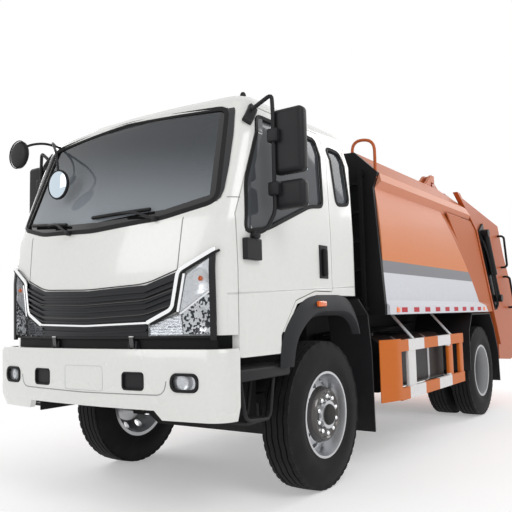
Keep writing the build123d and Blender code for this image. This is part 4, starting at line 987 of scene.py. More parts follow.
def cushion_box(low: Point, high: Point, radius: float, arc: int = 5) -> Surface:
    """Box with round edges: a ball's points pushed out to the eight corners of the box less its edge radius.

    Args:
        low: Lowest corner.
        high: Highest corner.
        radius: Edge radius.
        arc: Stations on a quarter of each edge.

    Returns:
        The closed surface.
    """
    low_corner, high_corner = np.asarray(low, dtype=float), np.asarray(high, dtype=float)
    middle, core = (low_corner + high_corner) / 2.0, (high_corner - low_corner) / 2.0 - radius
    quarter = np.linspace(0.0, math.pi / 2.0, arc)
    turn = np.concatenate([quarter + math.pi / 2.0 * number for number in range(4)])
    sign_x = np.repeat([1.0, -1.0, -1.0, 1.0], arc)
    sign_y = np.repeat([1.0, 1.0, -1.0, -1.0], arc)
    tilt = np.concatenate([quarter - math.pi / 2.0, quarter])
    sign_z = np.repeat([-1.0, 1.0], arc)
    x = sign_x[None] * core[0] + radius * np.cos(turn)[None] * np.cos(tilt)[:, None]
    y = sign_y[None] * core[1] + radius * np.sin(turn)[None] * np.cos(tilt)[:, None]
    z = np.broadcast_to((sign_z * core[2] + radius * np.sin(tilt))[:, None], x.shape)
    shell = np.stack([x, y, z], axis=-1)
    poles = [np.broadcast_to([0.0, 0.0, z[row, 0]], shell[:1].shape) for row in (0, -1)]
    return Surface.grid(np.concatenate([poles[0], shell, poles[1]]) + middle, wrap_v=True)


@dataclass(frozen=True)
class Tube:
    """Round tube: its radius, the easing of its bends, the step of its stations and the hint for its first side."""

    radius: float
    ease: float
    step: float
    up: Point
    sides: int = 12
    bend: int = 6

    def through(self, corners: Sequence[Point]) -> Surface:
        """Tube through some corners, eased at each inner one."""
        path = evened(rounded_path(corners, self.ease, self.bend), self.step)
        return swept(path, round_profile(self.radius, self.sides), self.up)


SMOOTH_ANGLE = math.radians(34.0)
FLAT_ANGLE = math.radians(0.6)
WELD = 2e-5


def shaped(mesh: bpy.types.Mesh, flatten: bool) -> None:
    """Weld a mesh, turn its faces outwards and mark which edges stay sharp.

    Args:
        mesh: Mesh to tidy.
        flatten: Whether flat neighbours join into one face.
    """
    work = bmesh.new()
    work.from_mesh(mesh)
    bmesh.ops.remove_doubles(work, verts=work.verts, dist=WELD)
    bmesh.ops.dissolve_degenerate(work, edges=work.edges, dist=WELD)
    if flatten:
        bmesh.ops.dissolve_limit(work, angle_limit=FLAT_ANGLE, verts=work.verts, edges=work.edges)
    else:
        bmesh.ops.recalc_face_normals(work, faces=work.faces)
    for face in work.faces:
        face.smooth = True
    for edge in work.edges:
        edge.smooth = edge.calc_face_angle(math.pi) < SMOOTH_ANGLE
    work.to_mesh(mesh)
    work.free()


def dress(item: bpy.types.Object, finish: Finish, edge: float) -> None:
    """Give an object its finish and soften its edges.

    Args:
        item: Object to dress.
        finish: Finish of all its faces.
        edge: Width of the softened edges, or nothing for none.
    """
    item.data.materials.clear()
    item.data.materials.append(made(finish))
    if edge > 0.0:
        soft = item.modifiers.new("soft_edges", "BEVEL")
        soft.width = edge
        soft.segments = 2
        soft.limit_method = "ANGLE"
        soft.angle_limit = SMOOTH_ANGLE


BODY_OF_NODE = {node: body for body, nodes in frame["record"]["behaviour"]["bodies"].items() for node in nodes}


def piece(mesh: bpy.types.Mesh, finish: Finish, edge: float, body: str, stands_for: Sequence[str]
          ) -> bpy.types.Object:
    """Link a shaped mesh into the scene as a piece that rides on a body.

    Args:
        mesh: Mesh that also gives the piece its name.
        finish: Finish of the piece.
        edge: Width of its softened edges.
        body: Body that it rides on.
        stands_for: Nodes that it replaces.

    Returns:
        The piece's object.
    """
    item = bpy.data.objects.new(mesh.name, mesh)
    bpy.context.scene.collection.objects.link(item)
    dress(item, finish, edge)
    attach(item, body)
    if stands_for:
        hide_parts(*stands_for)
    LOG.info("%s: %d faces on %s", item.name, len(mesh.polygons), body)
    return item


def put(name: str, surface: Surface, finish: Finish, body: str, edge: float = 0.0,
        stands_for: Sequence[str] = ()) -> bpy.types.Object:
    """Turn a surface into a piece that rides on a body.

    Args:
        name: Name of the piece.
        surface: Its points and faces.
        finish: Its finish.
        body: Body that it rides on.
        edge: Width of its softened edges.
        stands_for: Nodes that it replaces.

    Returns:
        The piece's object.
    """
    mesh = surface.mesh(name)
    shaped(mesh, flatten=False)
    return piece(mesh, finish, edge, body, stands_for)


def panel(node: str, finish: Finish, edge: float = 0.004) -> bpy.types.Object:
    """Welded, smooth-shaded copy of a solid that stands for it.

    Args:
        node: Name of the solid.
        finish: Finish of the copy.
        edge: Width of its softened edges.

    Returns:
        The copy.
    """
    mesh = frame["nodes"][node].data.copy()
    mesh.name = node + "_skin"
    shaped(mesh, flatten=True)
    return piece(mesh, finish, edge, BODY_OF_NODE[node], [node])


class Lay(Enum):
    """How a strip runs along its corners."""

    OPEN = "from the first to the last"
    LOOP = "round and back to the first"
    ACROSS = "from the left half on to its twin"


@dataclass(frozen=True)
class Strip:
    """Flat strip: its corners, width, thickness, distance of its middle off the skin, easing and how it runs."""

    path: Path
    width: float
    depth: float
    out: float
    ease: float
    lay: Lay = Lay.OPEN


@dataclass(frozen=True)
class Bowl:
    """Round hollow in a sheet: its middle, its radius, the sheet's distance off the skin and the hollow's depth."""

    middle: Pair
    radius: float
    out: float = 0.012
    deep: float = 0.010

    def relief(self, across: Array, height: Array) -> Array:
        """Distance off the skin: the sheet's own, less a hollow that fades with the square of the distance.

        Args:
            across: Y of the points.
            height: Z of the points.

        Returns:
            The distance at each point.
        """
        away = (across - self.middle[0]) ** 2 + (height - self.middle[1]) ** 2
        return self.out - self.deep * np.clip(1.0 - away / self.radius**2, 0.0, 1.0)


STRIP_STEP = 0.012
JUST_UNDER = 0.9999
Skin = Callable[..., tuple[Array, Array]]


@dataclass
class BowForm:
    """Bowed nose of the cab or the bumper: rows of height, nose, half width, front radius and corner radius."""

    rows: Array

    def row(self, height: Array) -> tuple[Array, ...]:
        """Nose, half width, front radius and corner radius at some heights."""
        return tuple(np.interp(height, self.rows[:, 0], self.rows[:, column]) for column in range(1, 5))

    def front(self, across: Array, height: Array, out: Union[float, Array] = 0.0
              ) -> tuple[Array, Array]:
        """Points on the nose: a wide front arc that runs into a tight corner arc, both level.

        Args:
            across: Y of the points.
            height: Z of the points.
            out: Distance off the skin.

        Returns:
            The points and the skin's directions there.
        """
        nose, half, bow, corner = self.row(height)
        reach = np.sqrt((bow - corner) ** 2 - (half - corner) ** 2)
        size = np.abs(across)
        wide = size <= (half - corner) * bow / (bow - corner)
        bend = np.clip((size - half + corner) / corner, 0.0, 1.0)
        lean_y = np.where(wide, across / bow, np.sign(across) * bend)
        lean_x = np.sqrt(1.0 - lean_y**2)
        x = np.where(wide, nose - bow + bow * lean_x, nose - bow + reach + corner * lean_x)
        skin = np.stack([x, np.where(wide, across, np.sign(across) * (half - corner + corner * bend)), height], axis=-1)
        lean = np.stack([lean_x, lean_y, np.zeros_like(lean_x)], axis=-1)
        return skin + lean * np.asarray(out)[..., None], lean

    def flank(self, along: Array, height: Array, out: Union[float, Array] = 0.0
              ) -> tuple[Array, Array]:
        """Points on the left flank: flat up to the corner, then round it.

        Args:
            along: X of the points.
            height: Z of the points.
            out: Distance off the skin.

        Returns:
            The points and the skin's directions there.
        """
        nose, half, bow, corner = self.row(height)
        corner_x = nose - bow + np.sqrt((bow - corner) ** 2 - (half - corner) ** 2)
        lean_x = np.clip((along - corner_x) / corner, 0.0, 0.98)
        lean = np.stack([lean_x, np.sqrt(1.0 - lean_x**2), np.zeros_like(lean_x)], axis=-1)
        skin = np.stack([along, half - corner + corner * lean[..., 1], height], axis=-1)
        return skin + lean * np.asarray(out)[..., None], lean

    @staticmethod
    def strip(skin: Skin, strip: Strip) -> Surface:
        """Flat strip carried along its eased corners, following the lean of a skin.

        Args:
            skin: The front or the flank of a form.
            strip: The strip, with Y-Z corners on a front and X-Z corners on a flank.

        Returns:
            The strip's surface.
        """
        twin = [(-across, height) for across, height in reversed(strip.path) if across > 0.0]
        corners = [*strip.path, *twin] if strip.lay is Lay.ACROSS else strip.path
        closed = strip.lay is Lay.LOOP
        path = evened(rounded_path(corners, strip.ease, closed=closed), STRIP_STEP, closed)
        points, lean = skin(path[:, 0], path[:, 1], strip.out)
        return swept(points, flat_profile(strip.width, strip.depth), lean, closed)

    def nose_strip(self, strip: Strip) -> Surface:
        """Strip on the nose."""
        return self.strip(self.front, strip)

    def flank_strip(self, strip: Strip) -> Surface:
        """Strip on the left flank."""
        return self.strip(self.flank, strip)

    def nose_spot(self, place: Pair, out: float) -> Array:
        """One point off the nose at a Y and a Z."""
        return self.front(np.array(place[0]), np.array(place[1]), out)[0]

    @staticmethod
    def infill(skin: Skin, levels: Pair, edges: tuple[Path, Path], out: float, counts: tuple[int, int]) -> Surface:
        """Sheet on a skin between two edge lines: each level blends evenly from the near edge to the far one.

        Args:
            skin: The front or the flank of a form.
            levels: Lowest and highest Z.
            edges: Near and far edge line, each of rising corners, Y-Z on the front and X-Z on the flank.
            out: Distance off the skin.
            counts: Levels, and stations from edge to edge.

        Returns:
            The sheet.
        """
        height = np.linspace(*levels, counts[0])[:, None]
        share = np.linspace(0.0, 1.0, counts[1])[None]
        near, far = (np.interp(height, [z for _, z in edge], [place for place, _ in edge]) for edge in edges)
        return Surface.grid(skin(near * (1.0 - share) + far * share, np.broadcast_to(height, counts), out)[0])

    def nose_sheet(self, corners: Sequence[Pair], relief: Callable[[Array, Array], Array],
                   counts: tuple[int, int]) -> Surface:
        """Sheet between four Y-Z corners, blended evenly from side to side, lifted off the nose by a relief.

        Args:
            corners: Low inner, low outer, high outer and high inner corner.
            relief: Distance off the skin as a function of Y and Z.
            counts: Stations across and up.

        Returns:
            The sheet.
        """
        first, second, third, fourth = np.asarray(corners, dtype=float)[:, None, None]
        u = np.linspace(0.0, 1.0, counts[0])[:, None, None]
        v = np.linspace(0.0, 1.0, counts[1])[None, :, None]
        flat = (first * (1.0 - u) + second * u) * (1.0 - v) + (fourth * (1.0 - u) + third * u) * v
        return Surface.grid(self.front(flat[..., 0], flat[..., 1], relief(flat[..., 0], flat[..., 1]))[0])


CAB = BowForm(np.array([
    (0.94, 3.446, 1.04, 3.60, 0.160), (1.10, 3.450, 1.04, 3.60, 0.160), (1.48, 3.456, 1.04, 3.60, 0.160),
    (1.78, 3.424, 1.04, 3.79, 0.155), (2.34, 3.196, 1.022, 4.50, 0.125), (2.50, 3.129, 0.973, 5.00, 0.115),
    (2.57, 3.085, 0.950, 5.00, 0.115),
]))
BUMPER = BowForm(np.array([
    (0.618, 3.470, 1.026, 6.0, 0.14), (0.700, 3.496, 1.046, 6.0, 0.14), (1.000, 3.500, 1.050, 6.0, 0.14),
    (1.024, 3.490, 1.040, 6.0, 0.14),
]))


@dataclass
class Nose:
    """Front of the cab: grille, lamps, chrome, seams, windscreen seal and wipers."""

    lines: tuple[Strip, Strip] = (
        Strip(((0.690, 1.372), (0.480, 1.312), (0.0, 1.296)), 0.004, 0.004, 0.0235, 0.06, Lay.ACROSS),
        Strip(((0.690, 1.287), (0.480, 1.227), (0.0, 1.211)), 0.004, 0.004, 0.0235, 0.06, Lay.ACROSS),
    )
    sill: Strip = Strip(((0.93, 1.094), (0.0, 1.092)), 0.018, 0.012, -0.006, 0.03, Lay.ACROSS)
    # painted shade: black sheet set back in the gap above the bumper
    apron: Strip = Strip(((0.930, 1.056), (0.0, 1.056)), 0.072, 0.006, -0.030, 0.02, Lay.ACROSS)
    lamp_upper: Path = ((0.714, 1.236), (0.903, 1.360), (0.904, 1.545), (0.762, 1.450))
    lamp_lower: Path = ((0.734, 1.110), (0.903, 1.110), (0.903, 1.348), (0.734, 1.232))
    lamp_ribs: Path = ((0.500, 1.102), (0.730, 1.108), (0.718, 1.226), (0.502, 1.160))
    upper_bowl: Bowl = Bowl((0.835, 1.415), 0.075)
    lower_bowl: Bowl = Bowl((0.825, 1.190), 0.080)
    rib_pitch: float = 0.016
    rib_foot: float = 0.003
    rib_height: float = 0.009
    band: Strip = Strip(((0.716, 1.226), (0.904, 1.352)), 0.011, 0.003, 0.0135, 0.02)
    lamp_edge: Strip = Strip(((0.921, 1.584), (0.922, 1.200), (0.921, 1.072)), 0.036, 0.020, 0.010, 0.03)
    bulb_place: Pair = (0.846, 1.428)
    bulb_out: float = 0.008
    bulb: Path = ((0.0, -0.012), (0.012, -0.010), (0.015, 0.0), (0.010, 0.006), (0.0, 0.007))
    lamp_chrome: Strip = Strip(((0.938, 1.596), (0.714, 1.478), (0.668, 1.256), (0.494, 1.178)), 0.024, 0.012, 0.022,
                               0.03)
    foot_chrome: Strip = Strip(((0.494, 1.178), (0.0, 1.166)), 0.013, 0.010, 0.021, 0.03, Lay.ACROSS)
    groove: Strip = Strip(((0.960, 1.586), (0.736, 1.468), (0.690, 1.246), (0.516, 1.168)), 0.014, 0.010, 0.018, 0.03)
    ridge: Strip = Strip(((0.752, 1.460), (0.706, 1.238)), 0.016, 0.010, 0.019, 0.03)
    flap_seam: Strip = Strip(((0.717, 1.800), (0.705, 1.620), (0.697, 1.482)), 0.005, 0.002, 0.0006, 0.05)
    flap_foot: Strip = Strip(((0.700, 1.486), (0.480, 1.412), (0.0, 1.394)), 0.006, 0.004, 0.001, 0.08, Lay.ACROSS)
    corner_seam: Strip = Strip(((0.965, 1.905), (1.02, 1.905)), 0.005, 0.002, 0.0006, 0.01)
    screen_seal: Strip = Strip((
        (0.0, 2.566), (0.838, 2.522), (0.915, 1.886), (0.560, 1.806), (0.0, 1.776), (-0.560, 1.806), (-0.915, 1.886),
        (-0.838, 2.522)), 0.030, 0.010, 0.002, 0.07, Lay.LOOP)
    print_levels: Pair = (1.830, 2.545)
    print_near: Path = ((0.670, 1.830), (0.905, 1.886), (0.828, 2.522), (0.640, 2.545))
    print_far: Path = ((0.700, 1.830), (0.930, 1.890), (0.944, 1.955), (0.940, 2.112), (0.924, 2.318), (0.896, 2.500),
                       (0.860, 2.545))
    print_out: float = 0.004
    wipers: tuple[tuple[Pair, Pair, Pair], ...] = (
        ((0.525, 1.806), (0.466, 1.874), (-0.029, 1.868)), ((-0.228, 1.784), (-0.290, 1.850), (-0.780, 1.900)),
    )
    wiper_lean: Point = (1.0, 0.0, 0.6)
    wiper_step: float = 0.02
    grip_share: float = 0.45
    elbow_share: float = 0.6
    elbow_drop: float = 0.008
    arm_section: Pair = (0.016, 0.010)
    arm_out: float = 0.026
    blade_section: Pair = (0.018, 0.018)
    blade_out: float = 0.010
    spindle: Path = ((0.0, -0.01), (0.018, -0.01), (0.018, 0.03), (0.012, 0.036), (0.0, 0.036))

    def grille(self) -> None:
        """Slats of the solid, with two thin lines, the sill below them and a black sheet behind the bumper as painted
        shade in the gap.
        """
        panel("grille", Finish.GRILLE_BLACK, 0.002)
        lines = Surface.join([CAB.nose_strip(line) for line in self.lines])
        put("grille_lines", lines, Finish.RIM_DARK, "cab")
        put("grille_sill", CAB.nose_strip(self.sill), Finish.TRIM_BLACK, "cab", 0.003)
        # painted shade: the black sheet stands for the shade in the gap above the bumper
        put("grille_apron", CAB.nose_strip(self.apron), Finish.SEAL_BLACK, "cab")

    def ribs(self, across: Array, height: Array) -> Array:
        """Level ribs of one pitch, as a triangle wave of the height."""
        return self.rib_foot + self.rib_height * np.abs((height / self.rib_pitch) % 1.0 - 0.5) * 2.0

    def lamps(self) -> None:
        """Headlamps: reflector sheets with bowls under the clear cover, ribbed indicator, bulb and dark outer edge."""
        panel("headlamps", Finish.LAMP_CLEAR, 0.0)
        upper = CAB.nose_sheet(self.lamp_upper, self.upper_bowl.relief, (40, 50))
        lower = CAB.nose_sheet(self.lamp_lower, self.lower_bowl.relief, (40, 40))
        ribbed = CAB.nose_sheet(self.lamp_ribs, self.ribs, (20, 60))
        put("lamp_uppers", upper.both(), Finish.BRIGHT_BOWL, "cab")
        put("lamp_lowers", lower.both(), Finish.BOWL, "cab")
        put("lamp_indicators", ribbed.both(), Finish.RIB_SILVER, "cab")
        put("lamp_bands", CAB.nose_strip(self.band).both(), Finish.CHROME, "cab")
        put("lamp_edges", CAB.nose_strip(self.lamp_edge).both(), Finish.TRIM_BLACK, "cab", 0.003)
        bulb = lathe(self.bulb, CAB.nose_spot(self.bulb_place, self.bulb_out), Axis.X, 14)
        put("lamp_bulbs", bulb.both(), Finish.LAMP_AMBER, "cab")

    def chrome(self) -> None:
        """Chrome edge of the lamps, running on as a strip under the grille."""
        edge, foot = CAB.nose_strip(self.lamp_chrome), CAB.nose_strip(self.foot_chrome)
        put("chrome_strip", Surface.join([edge.both(), foot]), Finish.CHROME, "cab", 0.003)
        put("chrome_groove", CAB.nose_strip(self.groove).both(), Finish.SEAL_BLACK, "cab")
        put("chrome_ridges", CAB.nose_strip(self.ridge).both(), Finish.CHROME, "cab", 0.002)

    def seams(self) -> None:
        """Panel seams beside and below the front flap, and the windscreen's seal and printed flanks."""
        put("flap_seams", CAB.nose_strip(self.flap_seam).both(), Finish.SEAM_GREY, "cab")
        put("flap_foot", CAB.nose_strip(self.flap_foot), Finish.SEAL_BLACK, "cab")
        put("screen_seal", CAB.nose_strip(self.screen_seal), Finish.SEAL_BLACK, "cab", 0.003)
        flank = CAB.infill(CAB.front, self.print_levels, (self.print_near, self.print_far), self.print_out, (40, 10))
        put("screen_flanks", flank.both(), Finish.SCREEN_PRINT, "cab")
        put("corner_seams", CAB.nose_strip(self.corner_seam).both(), Finish.SEAM_GREY, "cab")

    def wiper_pair(self) -> None:
        """Two wipers: an arm bent once from its spindle to its grip on a straight blade."""
        arms, blades = [], []
        for spindle, near, far in self.wipers:
            grip = tuple((1.0 - self.grip_share) * a + self.grip_share * b for a, b in zip(near, far))
            elbow = ((1.0 - self.elbow_share) * spindle[0] + self.elbow_share * grip[0], grip[1] - self.elbow_drop)
            for parts, corners, section, out in (
                (arms, (spindle, elbow, grip), self.arm_section, self.arm_out),
                (blades, (near, far), self.blade_section, self.blade_out),
            ):
                path = evened(np.array(corners), self.wiper_step)
                parts.append(swept(CAB.front(path[:, 0], path[:, 1], out)[0], flat_profile(*section), self.wiper_lean))
            arms.append(lathe(self.spindle, CAB.nose_spot(spindle, 0.0), Axis.X, 16))
        put("wiper_arms", Surface.join(arms), Finish.TRIM_BLACK, "cab", 0.002)
        put("wiper_blades", Surface.join(blades), Finish.SEAL_BLACK, "cab", 0.002)

    def build(self) -> None:
        """Make the cab's front."""
        self.grille()
        self.lamps()
        self.chrome()
        self.seams()
        self.wiper_pair()


@dataclass
class FrontBumper:
    """Bumper skin with its tow covers, fog lamps, and painted shade along its pressed line and round its plate recess.
    """

    tow: Path = ((0.341, 0.789), (0.501, 0.789), (0.501, 0.887), (0.341, 0.887))
    tow_sink: Bowl = Bowl((0.421, 0.838), 0.080, -0.010, 0.0)
    tow_rim: Strip = Strip(tow, 0.010, 0.012, -0.003, 0.022, Lay.LOOP)
    bezel: Strip = Strip(((0.704, 0.792), (0.876, 0.792), (0.876, 0.884), (0.704, 0.884)), 0.016, 0.016, -0.001, 0.045,
                         Lay.LOOP)
    fog: Path = ((0.712, 0.797), (0.868, 0.797), (0.868, 0.879), (0.712, 0.879))
    fog_bowl: Bowl = Bowl((0.790, 0.838), 0.045, -0.018, 0.012)
    # painted shade: a grey strip along the pressed line
    groove: Strip = Strip(((0.668, 0.845), (0.655, 0.790), (0.620, 0.764), (0.0, 0.757)), 0.005, 0.002, 0.0004, 0.03,
                          Lay.ACROSS)
    # painted shade: a thin grey outline round the plate recess
    plate: Strip = Strip(((-0.175, 0.770), (0.175, 0.770), (0.175, 0.920), (-0.175, 0.920)), 0.0025, 0.0015, 0.0003,
                         0.02, Lay.LOOP)

    def build(self) -> None:
        """Make the bumper."""
        panel("bumper", Finish.BUMPER_WHITE, 0.010)
        cover = BUMPER.nose_sheet(self.tow, self.tow_sink.relief, (12, 6))
        put("tow_covers", cover.both(), Finish.TRIM_BLACK, "chassis")
        put("tow_rims", BUMPER.nose_strip(self.tow_rim).both(), Finish.SEAL_BLACK, "chassis")
        put("fog_bezels", BUMPER.nose_strip(self.bezel).both(), Finish.SEAL_BLACK, "chassis")
        panel("fog_lamps", Finish.LAMP_CLEAR, 0.0)
        bowl = BUMPER.nose_sheet(self.fog, self.fog_bowl.relief, (30, 20))
        put("fog_bowls", bowl.both(), Finish.BRIGHT_BOWL, "chassis")
        # painted shade: the grey strip stands for the shade in the pressed line
        put("bumper_groove", BUMPER.nose_strip(self.groove), Finish.SEAM_GREY, "chassis")
        # painted shade: the grey outline stands for the shade round the plate recess
        put("plate_recess", BUMPER.nose_strip(self.plate), Finish.STRUT_GREY, "chassis")


@dataclass(frozen=True)
class DoorMirror:
    """Door mirror: a bent tube from a foot on the door to the roof rail, two heads and their clamps."""

    x: float = 2.980
    bends: tuple[Point, ...] = (
        (3.010, 1.000, 2.490), (2.980, 1.125, 2.566), (2.980, 1.130, 2.450), (2.980, 1.130, 1.830),
        (3.030, 1.100, 1.722), (3.100, 1.062, 1.690), (3.100, 1.060, 1.640),
    )
    tube: Tube = Tube(0.013, 0.035, 0.010, (0.3, 1.0, 0.2))
    clamp: Block = ((-0.034, 1.094, -0.042), (0.026, 1.168, 0.042), 0.012, 5)
    clamp_z: Pair = (2.303, 1.972)
    joint: Block = ((3.066, 1.040, 1.660), (3.132, 1.086, 1.706), 0.018, 5)
    heads: Path = ((2.064, 2.472), (1.848, 2.022))
    head_x: Pair = (-0.104, -0.014)
    head_y: Pair = (1.098, 1.322)
    head_round: float = 0.034
    face_x: Pair = (-0.110, -0.100)
    face_inset: float = 0.018
    face_round: float = 0.0045
    foot: Strip = Strip(((3.122, 1.662), (3.122, 1.534)), 0.160, 0.036, 0.014, 0.01)
    plate: Strip = Strip(((3.045, 2.400), (2.960, 2.520)), 0.066, 0.030, 0.012, 0.01)

    def slabs(self, depth: Pair, inset: float, radius: float, arc: int) -> Surface:
        """One rounded slab for each head.

        Args:
            depth: Where the slab starts and ends along X, from the tube.
            inset: How far its outline lies inside the head's.
            radius: Edge radius.
            arc: Stations on a quarter of each edge.

        Returns:
            Both slabs.
        """
        near, far = (self.x + part for part in depth)
        inner, outer = self.head_y[0] + inset, self.head_y[1] - inset
        return Surface.join([cushion_box((near, inner, low + inset), (far, outer, high - inset), radius, arc)
                             for low, high in self.heads])

    def build(self, side: Side) -> None:
        """Make one mirror.

        Args:
            side: Side of the truck.
        """
        body = f"{side.word}_door"
        clamps = [cushion_box(*self.clamp).moved((self.x, 0.0, z)) for z in self.clamp_z]
        arm = Surface.join([self.tube.through(self.bends), cushion_box(*self.joint), *clamps])
        put(f"mirror_arm_{side.word}", arm.on(side), Finish.TRIM_BLACK, body, stands_for=[f"mirror_{side.word}"])
        heads = self.slabs(self.head_x, 0.0, self.head_round, 7)
        put(f"mirror_heads_{side.word}", heads.on(side), Finish.TRIM_BLACK, body)
        faces = self.slabs(self.face_x, self.face_inset, self.face_round, 5)
        put(f"mirror_faces_{side.word}", faces.on(side), Finish.MIRROR, body)
        for word, strip in (("foot", self.foot), ("head_plate", self.plate)):
            seat = CAB.flank_strip(strip).on(side)
            put(f"mirror_{word}_{side.word}", seat, Finish.TRIM_BLACK, body, 0.008)


@dataclass(frozen=True)
class CabSteps:
    """Entry step: a black box with a grooved tread, a tube hoop with a foot bar below it and dark plates behind."""

    box: Block = ((2.690, 0.800, 0.826), (3.250, 1.030, 0.900), 0.018, 5)
    hoop: tuple[Point, ...] = (
        (3.200, 1.000, 0.840), (3.150, 1.000, 0.600), (2.900, 1.000, 0.580), (2.850, 1.000, 0.840),
    )
    hoop_tube: Tube = Tube(0.011, 0.05, 0.02, (0.0, 1.0, 0.0))
    hoop_insets: Pair = (0.0, -0.17)
    tread: Block = ((2.905, 0.830, 0.572), (3.140, 1.000, 0.594), 0.008, 5)
    back: Block = ((2.740, 0.780, 0.560), (3.225, 0.792, 0.850), 0.005, 3)
    shield: Block = ((1.850, 0.352, 0.600), (2.450, 0.360, 0.745), 0.003, 3)
    arm: Block = ((0.0, 0.398, 0.842), (0.070, 0.810, 0.884), 0.008, 5)
    arm_x: Pair = (2.900, 3.100)
    rib_x: Pair = (2.72, 3.22)
    rib_y: tuple[float, ...] = (0.86, 0.89, 0.92, 0.95, 0.98)
    rib_z: float = 0.901
    rib_section: Pair = (0.012, 0.006)

    def build(self, side: Side) -> None:
        """Make one step.

        Args:
            side: Side of the truck.
        """
        box = cushion_box(*self.box)
        put(f"step_box_{side.word}", box.on(side), Finish.TRIM_BLACK, "chassis", stands_for=["cab_steps"])
        rails = [self.hoop_tube.through(self.hoop).moved((0.0, inset, 0.0)) for inset in self.hoop_insets]
        hoop = Surface.join([*rails, cushion_box(*self.tread)])
        put(f"step_hoop_{side.word}", hoop.on(side), Finish.CHASSIS_BLACK, "chassis")
        put(f"splash_shield_{side.word}", cushion_box(*self.shield).on(side), Finish.SEAL_BLACK, "chassis")
        put(f"step_back_{side.word}", cushion_box(*self.back).on(side), Finish.SEAL_BLACK, "chassis")
        arms = Surface.join([cushion_box(*self.arm).moved((x, 0.0, 0.0)) for x in self.arm_x])
        put(f"step_arms_{side.word}", arms.on(side), Finish.CHASSIS_BLACK, "chassis")
        bar = flat_profile(*self.rib_section)
        ribs = [swept(np.array([(x, y, self.rib_z) for x in self.rib_x]), bar, (0.0, 0.0, 1.0)) for y in self.rib_y]
        put(f"step_ribs_{side.word}", Surface.join(ribs).on(side), Finish.FLARE_BLACK, "chassis")


